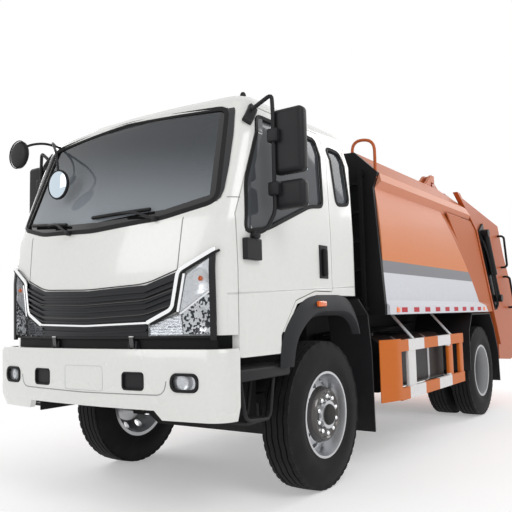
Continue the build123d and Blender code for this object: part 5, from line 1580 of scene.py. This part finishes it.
@dataclass
class CabFlank:
    """Sides of the cab: window seals, handles, flares and markers, with the mirrors and the steps."""

    window: Path = ((3.115, 1.712), (3.095, 2.010), (2.880, 2.466))
    corner_levels: Pair = (1.702, 2.462)
    corner_out: float = 0.0015
    door_seal: Strip = Strip((
        (3.172, 1.702), (3.136, 2.010), (2.948, 2.466), (2.210, 2.466), (2.208, 1.972), (2.400, 1.946), (2.930, 1.742),
    ), 0.026, 0.010, 0.001, 0.05, Lay.LOOP)
    pane_seal: Strip = Strip(((2.062, 2.440), (1.846, 2.440), (1.780, 2.040), (1.992, 2.010)), 0.026, 0.010, 0.001,
                             0.06, Lay.LOOP)
    tray: Strip = Strip(((2.232, 1.690), (2.232, 1.455)), 0.120, 0.008, 0.002, 0.02)
    grip: Block = ((2.212, 1.040, 1.470), (2.262, 1.074, 1.665), 0.016, 5)
    flare_outer: Path = ((2.832, 0.880), (2.805, 1.080), (2.600, 1.270), (2.420, 1.338), (1.900, 1.344), (1.740, 1.200),
                         (1.706, 1.050))
    flare_inner: Path = ((2.690, 0.880), (2.640, 1.040), (2.500, 1.140), (2.370, 1.195), (1.930, 1.195), (1.815, 1.120),
                         (1.780, 1.050))
    outer_ease: float = 0.16
    inner_ease: float = 0.14
    flare_step: float = 0.02
    flare_rows: int = 14
    flare_y: float = 1.042
    flare_bulge: float = 0.034
    bulge_share: float = 0.80
    lip_drop: float = 0.055
    flare_sheet: float = 0.006
    marker: Block = ((2.285, 1.060, 1.258), (2.390, 1.092, 1.296), 0.012, 5)
    mirror: DoorMirror = DoorMirror()
    steps: CabSteps = CabSteps()

    def seals(self, side: Side) -> None:
        """Black seals round the door's pane and the small pane behind it, and the dark corner ahead of the pane.

        Args:
            side: Side of the truck.
        """
        door = f"{side.word}_door"
        edges = (self.window, self.door_seal.path[:len(self.window)])
        corner = CAB.infill(CAB.flank, self.corner_levels, edges, self.corner_out, (24, 8))
        put(f"door_corner_{side.word}", corner.on(side), Finish.DARK_GLASS, door)
        seal = CAB.flank_strip(self.door_seal)
        put(f"door_seal_{side.word}", seal.on(side), Finish.SEAL_BLACK, door, 0.003)
        pane = CAB.flank_strip(self.pane_seal)
        put(f"pane_seal_{side.word}", pane.on(side), Finish.SEAL_BLACK, "cab", 0.003)

    def handle(self, side: Side) -> None:
        """Door handle: a dark tray with an upright grip.

        Args:
            side: Side of the truck.
        """
        tray = CAB.flank_strip(self.tray)
        put(f"handle_tray_{side.word}", tray.on(side), Finish.TRIM_BLACK, f"{side.word}_door", 0.003)
        grip = cushion_box(*self.grip)
        put(f"handle_grip_{side.word}", grip.on(side), Finish.SEAL_BLACK, f"{side.word}_door")

    def flare(self, side: Side) -> None:
        """Arch flare: rows from an outer arch line to an inner one, rising outwards as a quarter sine, then turning in.

        Args:
            side: Side of the truck.
        """
        outer = evened(rounded_path(self.flare_outer, self.outer_ease), self.flare_step)
        inner = rounded_path(self.flare_inner, self.inner_ease)
        length = np.linalg.norm(np.diff(inner, axis=0), axis=1).sum()
        inner = evened(inner, length / (len(outer) - 1) * JUST_UNDER)
        size = min(len(outer), len(inner))
        share = np.linspace(0.0, 1.0, self.flare_rows)[None, :, None]
        flat = outer[:size, None] * (1.0 - share) + inner[:size, None] * share
        rise = np.sin(np.clip(share[..., 0] / self.bulge_share, 0.0, 1.0) * math.pi / 2.0)
        turn = np.clip(share[..., 0] - self.bulge_share, 0.0, 1.0) / (1.0 - self.bulge_share)
        y = np.broadcast_to(self.flare_y + self.flare_bulge * rise - self.lip_drop * turn, flat.shape[:2])
        sheet = Surface.grid(np.stack([flat[..., 0], y, flat[..., 1]], axis=-1))
        item = put(f"flare_{side.word}", sheet.on(side), Finish.FLARE_BLACK, "cab", stands_for=["arch_trims"])
        thick = item.modifiers.new("sheet", "SOLIDIFY")
        thick.thickness = self.flare_sheet
        put(f"flare_marker_{side.word}", cushion_box(*self.marker).on(side), Finish.LAMP_AMBER, "cab")

    def build(self) -> None:
        """Make both flanks."""
        panel("cab_shell", Finish.CAB_WHITE)
        panel("cab_glass", Finish.SCREEN, 0.0)
        for side in Side:
            panel(f"door_{side.word}", Finish.CAB_WHITE)
            panel(f"door_glass_{side.word}", Finish.PANE, 0.0)
            self.seals(side)
            self.handle(side)
            self.flare(side)
            self.mirror.build(side)
            self.steps.build(side)


@dataclass
class CabTop:
    """Kerb mirrors on bent arms, and the roof marker; profiles hold shares of the mirror's radius and depths."""

    outer: Point = (3.300, -0.980, 2.470)
    inner: Point = (3.370, -0.420, 2.150)
    radius: float = 0.104
    outer_arm: tuple[Point, ...] = (
        (3.02, -0.80, 2.540), (3.18, -0.83, 2.560), (3.285, -0.90, 2.530), (3.29, -0.975, 2.480),
    )
    outer_tube: Tube = Tube(0.009, 0.06, 0.012, (0.2, 0.3, 1.0))
    inner_arm: tuple[Point, ...] = (
        (3.10, -0.80, 2.550), (3.28, -0.60, 2.500), (3.365, -0.44, 2.380), (3.36, -0.42, 2.170),
    )
    inner_tube: Tube = Tube(0.009, 0.08, 0.012, (1.0, 0.2, 0.1))
    shell: Path = ((0.0, 0.012), (0.55, 0.011), (0.80, 0.006), (0.93, -0.002), (1.0, -0.012), (1.0, -0.022),
                   (0.95, -0.026), (0.0, -0.022))
    face: Path = ((0.0, 0.016), (0.4, 0.014), (0.7, 0.009), (0.92, 0.001), (0.94, -0.004))
    edge: Path = ((0.90, 0.003), (0.98, 0.004), (1.02, -0.004), (1.0, -0.016), (0.8, -0.024), (0.0, -0.026))
    bead: float = 0.006
    marker: Path = ((0.0, -0.05), (0.030, -0.05), (0.030, 0.0), (0.022, 0.010), (0.020, 0.034), (0.012, 0.048),
                    (0.0, 0.050))
    marker_place: Point = (2.800, 0.780, 2.655)

    def dome(self, centre: Point, profile: Path) -> Surface:
        """Disc turned about X, from shares of the mirror's radius."""
        return lathe([(self.radius * share, depth) for share, depth in profile], centre, Axis.X, 40)

    def build(self) -> None:
        """Make what stands on the roof."""
        arms = Surface.join([self.outer_tube.through(self.outer_arm), self.inner_tube.through(self.inner_arm)])
        put("kerb_arms", arms, Finish.TRIM_BLACK, "cab", stands_for=["kerb_mirrors"])
        put("kerb_shells", self.dome(self.outer, self.shell), Finish.TRIM_BLACK, "cab")
        put("kerb_faces", self.dome(self.inner, self.face), Finish.MIRROR, "cab")
        bead = [(self.radius, self.bead), (self.radius + self.bead, 0.0), (self.radius, -self.bead)]
        edges = Surface.join([self.dome(self.inner, self.edge), lathe(bead, self.outer, Axis.X, 40)])
        put("kerb_edges", edges, Finish.SEAL_BLACK, "cab")
        put("roof_marker", lathe(self.marker, self.marker_place, Axis.Z, 20), Finish.TRIM_BLACK, "cab")


@dataclass
class Cabin:
    """Seats, dashboard and steering wheel seen through the glass."""

    dash: Path = ((3.230, 1.505), (3.230, 1.735), (3.090, 1.757), (2.990, 1.700), (3.020, 1.505))
    dash_ease: float = 0.04
    dash_half: float = 0.800
    seats: Path = ((-0.86, -0.34), (-0.30, 0.18), (0.33, 0.85))
    seat_x: Pair = (2.28, 2.77)
    seat_z: Pair = (1.395, 1.555)
    back_x: Pair = (2.12, 2.26)
    back_z: Pair = (1.52, 2.06)
    back_inset: float = 0.01
    back_lean: float = 0.20
    seat_round: float = 0.05
    head_x: Pair = (1.94, 2.04)
    head_z: Pair = (2.09, 2.25)
    head_half: float = 0.13
    head_round: float = 0.035
    fill: float = 0.8
    wheel_middle: Point = (2.935, 0.590, 1.785)
    wheel_lean: Point = (-0.707, 0.0, 0.707)
    wheel_rise: Point = (0.707, 0.0, 0.707)
    wheel_radius: float = 0.205
    wheel_rim: float = 0.015
    spoke_turns: tuple[float, ...] = (0.2, math.pi - 0.2, 1.5 * math.pi)
    spoke_reach: float = 0.2
    spoke_sink: float = 0.03
    spoke_section: Pair = (0.035, 0.014)
    column: Pair = (0.02, 0.27)
    column_radius: float = 0.030

    def dashboard(self) -> None:
        """Dashboard: one closed section carried straight across the cab."""
        span = np.array([(0.0, share * self.dash_half, 0.0) for share in (-1.0, 0.0, 1.0)])
        section = rounded_path(self.dash, self.dash_ease, closed=True)
        board = swept(span, section, (0.0, 0.0, 1.0))
        put("dashboard", board, Finish.CABIN_GREY, "cab", stands_for=["cab_interior"])

    def seat(self, number: int, low: float, high: float) -> None:
        """One seat: cushion, leaning back and head rest, all padded.

        Args:
            number: Place of the seat, from the right.
            low: Lowest Y of the cushion.
            high: Highest Y of the cushion.
        """
        middle, inset = (low + high) / 2.0, self.back_inset
        pads = {}
        for word, x, y, z, radius, arc in (
            ("base", self.seat_x, (low, high), self.seat_z, self.seat_round, 7),
            ("back", self.back_x, (low + inset, high - inset), self.back_z, self.seat_round, 7),
            ("head", self.head_x, (middle - self.head_half, middle + self.head_half), self.head_z, self.head_round, 6),
        ):
            pads[word] = cushion_box((x[0], y[0], z[0]), (x[1], y[1], z[1]), radius, arc)
        pads["back"].points[:, 0] -= (pads["back"].points[:, 2] - self.back_z[0]) * self.back_lean
        for word, pad in pads.items():
            put(f"seat_{word}_{number}", pad, Finish.SEAT_CLOTH, "cab")

    def rim_points(self, turn: Array, reach: float) -> Array:
        """Points round the steering wheel: its middle plus a level and a rising part of the reach.

        Args:
            turn: Angles round the wheel.
            reach: Distance from its middle.

        Returns:
            One point for each angle.
        """
        level, rise = np.array([0.0, 1.0, 0.0]), np.array(self.wheel_rise)
        return np.array(self.wheel_middle) + reach * (np.cos(turn)[:, None] * level + np.sin(turn)[:, None] * rise)

    def steering_wheel(self) -> None:
        """Steering wheel: a round rim, flat spokes and the column behind it."""
        lean, middle = np.array(self.wheel_lean), np.array(self.wheel_middle)
        ring = self.rim_points(np.linspace(0.0, 2.0 * math.pi, 48, endpoint=False), self.wheel_radius)
        rim = swept(ring, round_profile(self.wheel_rim, 10), lean, closed=True)
        ends = self.rim_points(np.array(self.spoke_turns), self.spoke_reach)
        spokes = [swept(np.array([middle - lean * self.spoke_sink, end]), flat_profile(*self.spoke_section), lean)
                  for end in ends]
        shaft = np.array([middle - lean * sink for sink in self.column])
        column = swept(shaft, round_profile(self.column_radius), (0.0, 1.0, 0.0))
        put("steering_wheel", Surface.join([rim, *spokes, column]), Finish.SEAL_BLACK, "cab")

    def build(self) -> None:
        """Make the cabin."""
        self.dashboard()
        for number, (low, high) in enumerate(self.seats):
            self.seat(number, low, high)
        self.steering_wheel()


@dataclass
class Wheels:
    """Tyres, wheels and their nuts."""

    radius: float = 0.510
    half_width: float = 0.124
    bead_radius: float = 0.292
    wall_bulge: float = 0.066
    wall_line: float = 0.0025
    shoulder: float = 0.022
    shoulder_rise: float = 0.019
    tread_half: float = 0.100
    tread_crown: float = 0.003
    tread_wave: float = 0.0022
    lug_depth: float = 0.007
    groove_depth: float = 0.013
    groove_half: float = 0.0055
    grooves: tuple[float, ...] = (-0.066, -0.023, 0.023, 0.066)
    steps: int = 192
    nuts: int = 10
    nut: Path = ((0.0, 0.0), (0.017, 0.0), (0.017, 0.014), (0.014, 0.018), (0.0, 0.018))
    stud: Path = ((0.0, 0.012), (0.008, 0.012), (0.008, 0.022), (0.0, 0.023))
    front_circle: float = 0.1270
    front_out: float = 0.100
    rear_circle: float = 0.1550
    rear_out: float = 0.018
    ring: Path = ((0.196, 0.058), (0.186, 0.084), (0.180, 0.104), (0.172, 0.113), (0.160, 0.114), (0.150, 0.104),
                  (0.104, 0.100), (0.098, 0.106))
    cap: Path = ((0.0, 0.150), (0.050, 0.149), (0.064, 0.144), (0.072, 0.130), (0.074, 0.110), (0.0, 0.110))

    def section(self) -> tuple[Array, Array]:
        """Half a rounded box from bead to bead: walls, shoulders and a crowned tread with grooves.

        Returns:
            Distances from the tyre's middle plane, and radii.
        """
        wall = np.linspace(0.0, 1.0, 14)
        line = self.wall_line * (np.abs(wall - 0.16) < 0.04)
        bulge = self.half_width - self.wall_bulge * np.abs(wall - 0.42) ** 1.6 - line
        foot = self.radius - self.shoulder
        height = self.bead_radius + (foot - self.bead_radius) * wall
        turn = np.linspace(0.0, 1.0, 5)[1:-1]
        shoulder_w = bulge[-1] + (self.tread_half - bulge[-1]) * turn
        shoulder_r = foot + self.shoulder_rise * np.sin(turn * math.pi / 2.0)
        edge, grooves = self.groove_half, np.array(self.grooves)
        marks = np.sort(np.concatenate([grooves + shift for shift in (-edge, -edge * 0.6, edge * 0.6, edge)]))
        tread = np.concatenate([[-self.tread_half], marks, [self.tread_half]])
        near = np.abs(tread[:, None] - grooves[None]).min(axis=1) < edge * 0.8
        crown = self.radius - self.tread_crown * (tread / self.tread_half) ** 2 - self.groove_depth * near
        across = np.concatenate([-bulge, -shoulder_w, tread, shoulder_w[::-1], bulge[::-1]])
        return across, np.concatenate([height, shoulder_r, crown, shoulder_r[::-1], height[::-1]])

    def tyre(self, centre: Point) -> Surface:
        """Tyre: its section turned about the axle, with waved grooves and notches cut into the shoulders.

        Args:
            centre: Middle of the wheel.

        Returns:
            The tyre's surface.
        """
        across, away = self.section()
        angle = np.linspace(0.0, 2.0 * math.pi, self.steps, endpoint=False)
        wave = self.tread_wave * np.sin(angle * self.steps / 8.0)[:, None] * (np.abs(across) < self.tread_half)[None]
        lugs = self.lug_depth * (np.arange(self.steps) % 4 < 1)[:, None]
        lugs = lugs * ((np.abs(across) > self.tread_half - 0.002) & (away > self.radius - 0.02))[None]
        reach = away[None] - lugs
        rings = np.stack([reach * np.sin(angle)[:, None], across[None] + wave, reach * np.cos(angle)[:, None]], axis=-1)
        return Surface.grid(rings + np.asarray(centre), wrap_u=True, wrap_v=True)

    def nut_ring(self, centre: Point, out: float, circle: float) -> Surface:
        """Ring of hexagon nuts with a round stud end each, turned about Y at the stud circle.

        Args:
            centre: Middle of the wheel.
            out: How far outboard of the middle the nuts sit.
            circle: Radius of the stud circle.

        Returns:
            All nuts of one wheel.
        """
        seat = (centre[0], centre[1] + out, centre[2] + circle)
        nut = Surface.join([lathe(self.nut, seat, Axis.Y, 6), lathe(self.stud, seat, Axis.Y, 10)])
        return nut.ringed(centre, self.nuts)

    def front(self, side: Side) -> None:
        """One front wheel with its nuts, the ring that guards them and the hub's cap.

        Args:
            side: Side of the truck.
        """
        body, hub = f"front_{side.word}_wheel", (FRONT_AXLE_X, FRONT_WHEEL_Y, AXLE_Z)
        tyre, nuts = self.tyre(hub), self.nut_ring(hub, self.front_out, self.front_circle)
        put(f"tread_front_{side.word}", tyre.on(side), Finish.TYRE, body, stands_for=[f"tyre_front_{side.word}"])
        put(f"nuts_front_{side.word}", nuts.on(side), Finish.CHROME, body)
        put(f"hub_ring_{side.word}", lathe(self.ring, hub, Axis.Y, 72).on(side), Finish.RIM_DARK, body)
        put(f"hub_cap_{side.word}", lathe(self.cap, hub, Axis.Y, 36).on(side), Finish.CAST_BLACK, body, 0.002)

    def rear(self, side: Side) -> None:
        """One twin rear wheel with its nuts.

        Args:
            side: Side of the truck.
        """
        body = f"rear_{side.word}_wheel"
        twin = Surface.join([self.tyre((REAR_AXLE_X, y, AXLE_Z)) for y in (REAR_INNER_Y, REAR_OUTER_Y)])
        put(f"treads_rear_{side.word}", twin.on(side), Finish.TYRE, body, stands_for=[f"tyres_rear_{side.word}"])
        middle = (REAR_AXLE_X, (REAR_INNER_Y + REAR_OUTER_Y) / 2.0, AXLE_Z)
        nuts = self.nut_ring(middle, self.rear_out, self.rear_circle)
        put(f"nuts_rear_{side.word}", nuts.on(side), Finish.STEEL, body)

    def build(self) -> None:
        """Make the four corners of the truck."""
        for side in Side:
            panel(f"wheel_front_{side.word}", Finish.RIM_SILVER)
            panel(f"wheel_rear_{side.word}", Finish.RIM_GREY)
            self.front(side)
            self.rear(side)


@dataclass
class SideGuards:
    """Guards between the axles: folded front plate, two striped rails, posts and light struts."""

    face_y: float = 1.148
    fold: Path = ((1.440, 1.085), (1.225, 1.148), (1.150, 1.148))
    fold_ease: float = 0.03
    plate_z: float = 0.740
    plate_sheet: float = 0.008
    rear: float = -0.545
    rails: Path = ((0.880, 0.976), (0.482, 0.582))
    rail_depth: float = 0.040
    rail_sheet: float = 0.006
    posts: Path = ((0.795, 0.960), (-0.215, -0.085), (-0.545, -0.430))
    post_y: Pair = (0.040, 0.008)
    post_overlap: float = 0.01
    struts: Pair = (0.800, -0.210)
    upper_strut: Path = ((1.130, 0.965), (1.000, 1.112), (0.935, 1.186))
    upper_section: Pair = (0.050, 0.012)
    lower_strut: Path = ((1.108, 0.550), (0.960, 0.600), (0.900, 0.800))
    lower_section: Pair = (0.034, 0.012)
    strut_lean: Point = (0.0, 0.6, 0.8)

    def rail(self, low: float, high: float) -> Surface:
        """One rail: a channel open inboard, carried straight back from the plate.

        Args:
            low: Height of its lower edge.
            high: Height of its upper edge.

        Returns:
            The rail.
        """
        half, deep, sheet = (high - low) / 2.0, -self.rail_depth, self.rail_sheet
        channel = np.array([(deep, half), (0.0, half), (0.0, -half), (deep, -half), (deep, sheet - half),
                            (-sheet, sheet - half), (-sheet, half - sheet), (deep, half - sheet)])
        stations = np.linspace(self.fold[-1][0], self.rear, 24)
        run = np.array([(x, self.face_y, (low + high) / 2.0) for x in stations])
        return swept(run, channel, (0.0, 0.0, 1.0))

    def build(self) -> None:
        """Make both guards."""
        (upper_low, upper_high), (lower_low, lower_high) = self.rails
        fold = rounded_path(self.fold, self.fold_ease)
        path = evened(np.column_stack([fold, np.full(len(fold), self.plate_z)]), 0.03)
        plate = swept(path, flat_profile(self.plate_sheet, upper_high - lower_low), (0.0, 0.0, 1.0))
        inner, outer = (self.face_y - depth for depth in self.post_y)
        foot, head = lower_high - self.post_overlap, upper_low + self.post_overlap
        posts = [cushion_box((low, inner, foot), (high, outer, head), 0.006, 3) for low, high in self.posts]
        frame_parts = Surface.join([plate, *(self.rail(*rail) for rail in self.rails), *posts])
        put("guard_rails", frame_parts.both(), Finish.GUARD_ORANGE, "chassis", 0.002, stands_for=["side_guards"])
        struts = [swept(np.array([(x, *knee) for knee in line]), flat_profile(*section), self.strut_lean)
                  for x in self.struts
                  for line, section in ((self.upper_strut, self.upper_section), (self.lower_strut, self.lower_section))]
        put("guard_struts", Surface.join(struts).both(), Finish.STRUT_GREY, "chassis", 0.002)


@dataclass
class LoadBody:
    """Compaction body and what hangs under it."""

    hoop: tuple[Point, ...] = (
        (1.420, 0.906, 2.300), (1.420, 0.906, 2.645), (1.420, 1.106, 2.625), (1.420, 1.106, 2.300),
    )
    hoop_tube: Tube = Tube(0.013, 0.098, 0.012, (1.0, 0.0, 0.0), bend=10)
    tank: Path = ((0.420, 0.560), (1.050, 0.560), (1.050, 0.950), (0.960, 1.010), (0.420, 1.010))
    tank_ease: float = 0.05
    strap_x: Pair = (0.95, 0.25)
    strap_section: Pair = (0.006, 0.045)
    cap: Path = ((0.0, 0.036), (0.036, 0.034), (0.045, 0.026), (0.045, 0.0), (0.0, 0.0))
    cap_place: Point = (1.16, 0.86, 1.012)
    pipe: Path = ((1.30, 1.02), (0.6, 1.05), (-0.3, 1.05), (-0.85, 1.09))
    pipe_y: tuple[float, ...] = (0.45, 0.49, -0.45)
    pipe_tube: Tube = Tube(0.012, 0.1, 0.03, (0.0, 0.0, 1.0), 8)
    marker: Block = ((-0.032, 1.172, 1.206), (0.032, 1.186, 1.247), 0.005, 3)
    marker_x: Pair = (1.235, -1.300)

    def build(self) -> None:
        """Make the body and the tanks."""
        panel("body_walls", Finish.BODY_ORANGE, 0.006)
        panel("body_roof", Finish.BRIGHT_ORANGE)
        panel("body_floor", Finish.CHASSIS_BLACK)
        panel("bulkhead", Finish.BLACK_ENAMEL, 0.003)
        hoop = self.hoop_tube.through(self.hoop)
        # painted shade: the hoop takes the darker copy of the body orange
        put("hoop_tube", hoop, Finish.DEEP_ORANGE, "chassis", stands_for=["grab_hoop"])
        panel("fuel_tank", Finish.BLACK_ENAMEL, 0.010)
        panel("battery_box", Finish.BLACK_ENAMEL, 0.008)
        loop = rounded_path(self.tank, self.tank_ease, closed=True)
        strap = flat_profile(*self.strap_section)
        straps = [swept(np.column_stack([np.full(len(loop), x), loop]), strap, (1.0, 0.0, 0.0), closed=True)
                  for x in self.strap_x]
        put("tank_straps", Surface.join(straps), Finish.STEEL, "chassis", 0.001)
        put("tank_cap", lathe(self.cap, self.cap_place, Axis.Z, 28), Finish.TRIM_BLACK, "chassis", 0.002)
        pipes = [self.pipe_tube.through([(x, y, z) for x, z in self.pipe]) for y in self.pipe_y]
        put("floor_pipes", Surface.join(pipes), Finish.CHASSIS_BLACK, "chassis")
        markers = [cushion_box(*self.marker).moved((x, 0.0, 0.0)) for x in self.marker_x]
        put("rail_markers", Surface.join(markers).both(), Finish.LAMP_AMBER, "chassis")


@dataclass
class Hopper:
    """Loading hopper with its packer, rams, lamps, pipes and bin lifter."""

    pipe_shifts: Pair = (0.0, 0.035)
    pipe_tube: Tube = Tube(0.011, 0.08, 0.02, (0.0, 1.0, 0.2), 8)

    def pipe(self, shift: float) -> Surface:
        """One pipe beside the slide track.

        Args:
            shift: How far it lies behind the first one.

        Returns:
            The pipe.
        """
        return self.pipe_tube.through([
            (-1.52, 1.112, 2.10), (-1.60, 1.150, 1.98 - shift), (-1.74 - shift, 1.155, 1.75),
            (-2.02 - shift, 1.150, 1.28), (-2.05 - shift, 1.112, 1.22),
        ])

    def build(self) -> None:
        """Make the hopper."""
        # painted shade: the hopper's orange parts take the darker copy of the body orange
        for node in ("hopper_sides", "hopper_hood"):
            panel(node, Finish.DEEP_ORANGE)
        for node in ("hopper_trough", "packer_carriage", "sweep_blade"):
            panel(node, Finish.DEEP_ORANGE, 0.003)
        for node in ("slide_tracks", "bin_lifter", "lift_barrels"):
            panel(node, Finish.BLACK_ENAMEL, 0.003)
        panel("lift_rods", Finish.CHROME, 0.0)
        panel("tail_lamps", Finish.LAMP_RED)
        pipes = Surface.join([self.pipe(shift) for shift in self.pipe_shifts])
        put("hopper_pipes", pipes.both(), Finish.SEAL_BLACK, "hopper")


@dataclass
class RunningGear:
    """Solids under the truck that only take a finish."""

    finishes: tuple[tuple[Finish, tuple[str, ...]], ...] = (
        (Finish.CHASSIS_BLACK, ("frame_rails", "crossmembers", "leaf_springs", "propshaft", "cab_mounts")),
        (Finish.CAST_BLACK, ("front_axle", "rear_axle", "knuckle_left", "knuckle_right")),
        (Finish.ENGINE_GREY, ("engine",)),
        (Finish.TRIM_BLACK, ("mudguards",)),
    )

    def build(self) -> None:
        """Make the running gear."""
        for finish, nodes in self.finishes:
            for node in nodes:
                panel(node, finish)


@dataclass
class Studio:
    """Floor, lights and the camera."""

    eye: Point = (6.189, 3.199, 1.206)
    yaw: float = math.radians(-145.337)
    pitch: float = math.radians(5.356)
    roll: float = math.radians(-1.347)
    focal: float = 636.5
    frame_width: float = 512.0
    sensor: float = 36.0
    far_clip: float = 500.0
    floor_half: float = 60.0
    floor_tones: tuple[Colour, Colour] = ((0.86, 0.86, 0.86), (0.80, 0.80, 0.80))
    floor_glow: float = 0.34
    shadow_half: Pair = (3.4, 1.2)
    shadow_fade: float = 2.6
    white: Colour = (1.0, 1.0, 1.0)
    sky: float = 0.46
    lamps: tuple[tuple[str, Point, Point, float, float], ...] = (
        ("key", (6.0, 8.0, 7.5), (0.5, 0.6, 1.2), 5.0, 300.0),
        ("front", (10.0, -3.0, 4.5), (2.5, 0.0, 1.4), 4.0, 130.0),
        ("rear", (-8.0, 3.0, 6.0), (-1.5, 0.0, 1.4), 5.0, 220.0),
        ("right", (0.0, -9.0, 5.0), (0.0, 0.0, 1.2), 5.0, 220.0),
    )

    def camera(self) -> None:
        """Set the camera where the picture was taken from."""
        flat = math.cos(self.pitch)
        ahead = np.array([math.cos(self.yaw) * flat, math.sin(self.yaw) * flat, math.sin(self.pitch)])
        level = np.array([math.sin(self.yaw), -math.cos(self.yaw), 0.0])
        upright = np.cross(level, ahead)
        right = level * math.cos(self.roll) + upright * math.sin(self.roll)
        up = -level * math.sin(self.roll) + upright * math.cos(self.roll)
        data = bpy.data.cameras.new("photo_camera")
        data.sensor_width = self.sensor
        data.sensor_fit = "HORIZONTAL"
        data.lens = self.focal / self.frame_width * self.sensor
        data.clip_end = self.far_clip
        item = bpy.data.objects.new("photo_camera", data)
        turn = Matrix(np.stack([right, up, -ahead], axis=1).tolist()).to_4x4()
        item.matrix_world = Matrix.Translation(self.eye) @ turn
        bpy.context.scene.collection.objects.link(item)
        bpy.context.scene.camera = item

    def light(self, name: str, place: Point, target: Point, size: float, power: float) -> None:
        """Add one soft lamp.

        Args:
            name: Name of the lamp.
            place: Where it hangs.
            target: Point that it faces.
            size: Side of its square face.
            power: Watts.
        """
        data = bpy.data.lights.new(name, "AREA")
        data.size = size
        data.energy = power
        item = bpy.data.objects.new(name, data)
        item.rotation_mode = "QUATERNION"
        item.rotation_quaternion = (Vector(target) - Vector(place)).to_track_quat("-Z", "Y")
        item.location = place
        bpy.context.scene.collection.objects.link(item)

    def world(self) -> None:
        """Sky that looks white and lights softly."""
        tree = Tree(bpy.data.worlds.new("studio"))
        bpy.context.scene.world = tree.owner
        strength = tree.seen() * (1.0 - self.sky) + self.sky
        sky = tree.node("ShaderNodeBackground", {}, {"Color": self.white, "Strength": strength})
        tree.node("ShaderNodeOutputWorld", {}, {"Surface": sky.outputs[0]})

    def floor_paint(self) -> Material:
        """Pale floor near the truck that goes over into plain white further off.

        Returns:
            The material.
        """
        tree = Tree.of_material("studio_floor")
        along, across, _ = tree.place()
        beyond = (abs(along) - self.shadow_half[0]).or_more(abs(across) - self.shadow_half[1])
        near = tree.principled(tree.mix(tree.noise(0.6, 2.0) * 0.05, *self.floor_tones), {
            "Roughness": 0.9, "Specular IOR Level": 0.1, "Emission Color": self.white,
            "Emission Strength": self.floor_glow,
        })
        far = tree.node("ShaderNodeEmission", {}, {"Color": self.white, "Strength": 1.0}).outputs[0]
        share = beyond.ramp(0.0, self.shadow_fade) * tree.seen()
        return tree.finish(tree.node("ShaderNodeMixShader", {}, {0: share, 1: near, 2: far}).outputs[0])

    def floor(self) -> None:
        """Pale floor that shows only the soft shadow under the truck."""
        span = np.array([-self.floor_half, self.floor_half])
        x, y = np.meshgrid(span, span, indexing="ij")
        sheet = Surface.grid(np.stack([x, y, np.zeros_like(x)], axis=-1))
        mesh = sheet.mesh("floor")
        mesh.materials.append(self.floor_paint())
        item = bpy.data.objects.new("floor", mesh)
        bpy.context.scene.collection.objects.link(item)

    def build(self) -> None:
        """Make the studio."""
        bpy.context.scene.view_settings.view_transform = "Standard"
        self.camera()
        self.world()
        self.floor()
        for lamp in self.lamps:
            self.light(*lamp)


def main() -> None:
    """Build every sub-assembly in order."""
    logging.basicConfig(level=logging.INFO, format="%(name)s %(message)s")
    for assembly in (RunningGear, CabFlank, Nose, FrontBumper, CabTop, Cabin, Wheels, SideGuards, LoadBody, Hopper,
                     Studio):
        LOG.info("building %s", assembly.__name__)
        assembly().build()


if __name__ == "__main__":
    main()
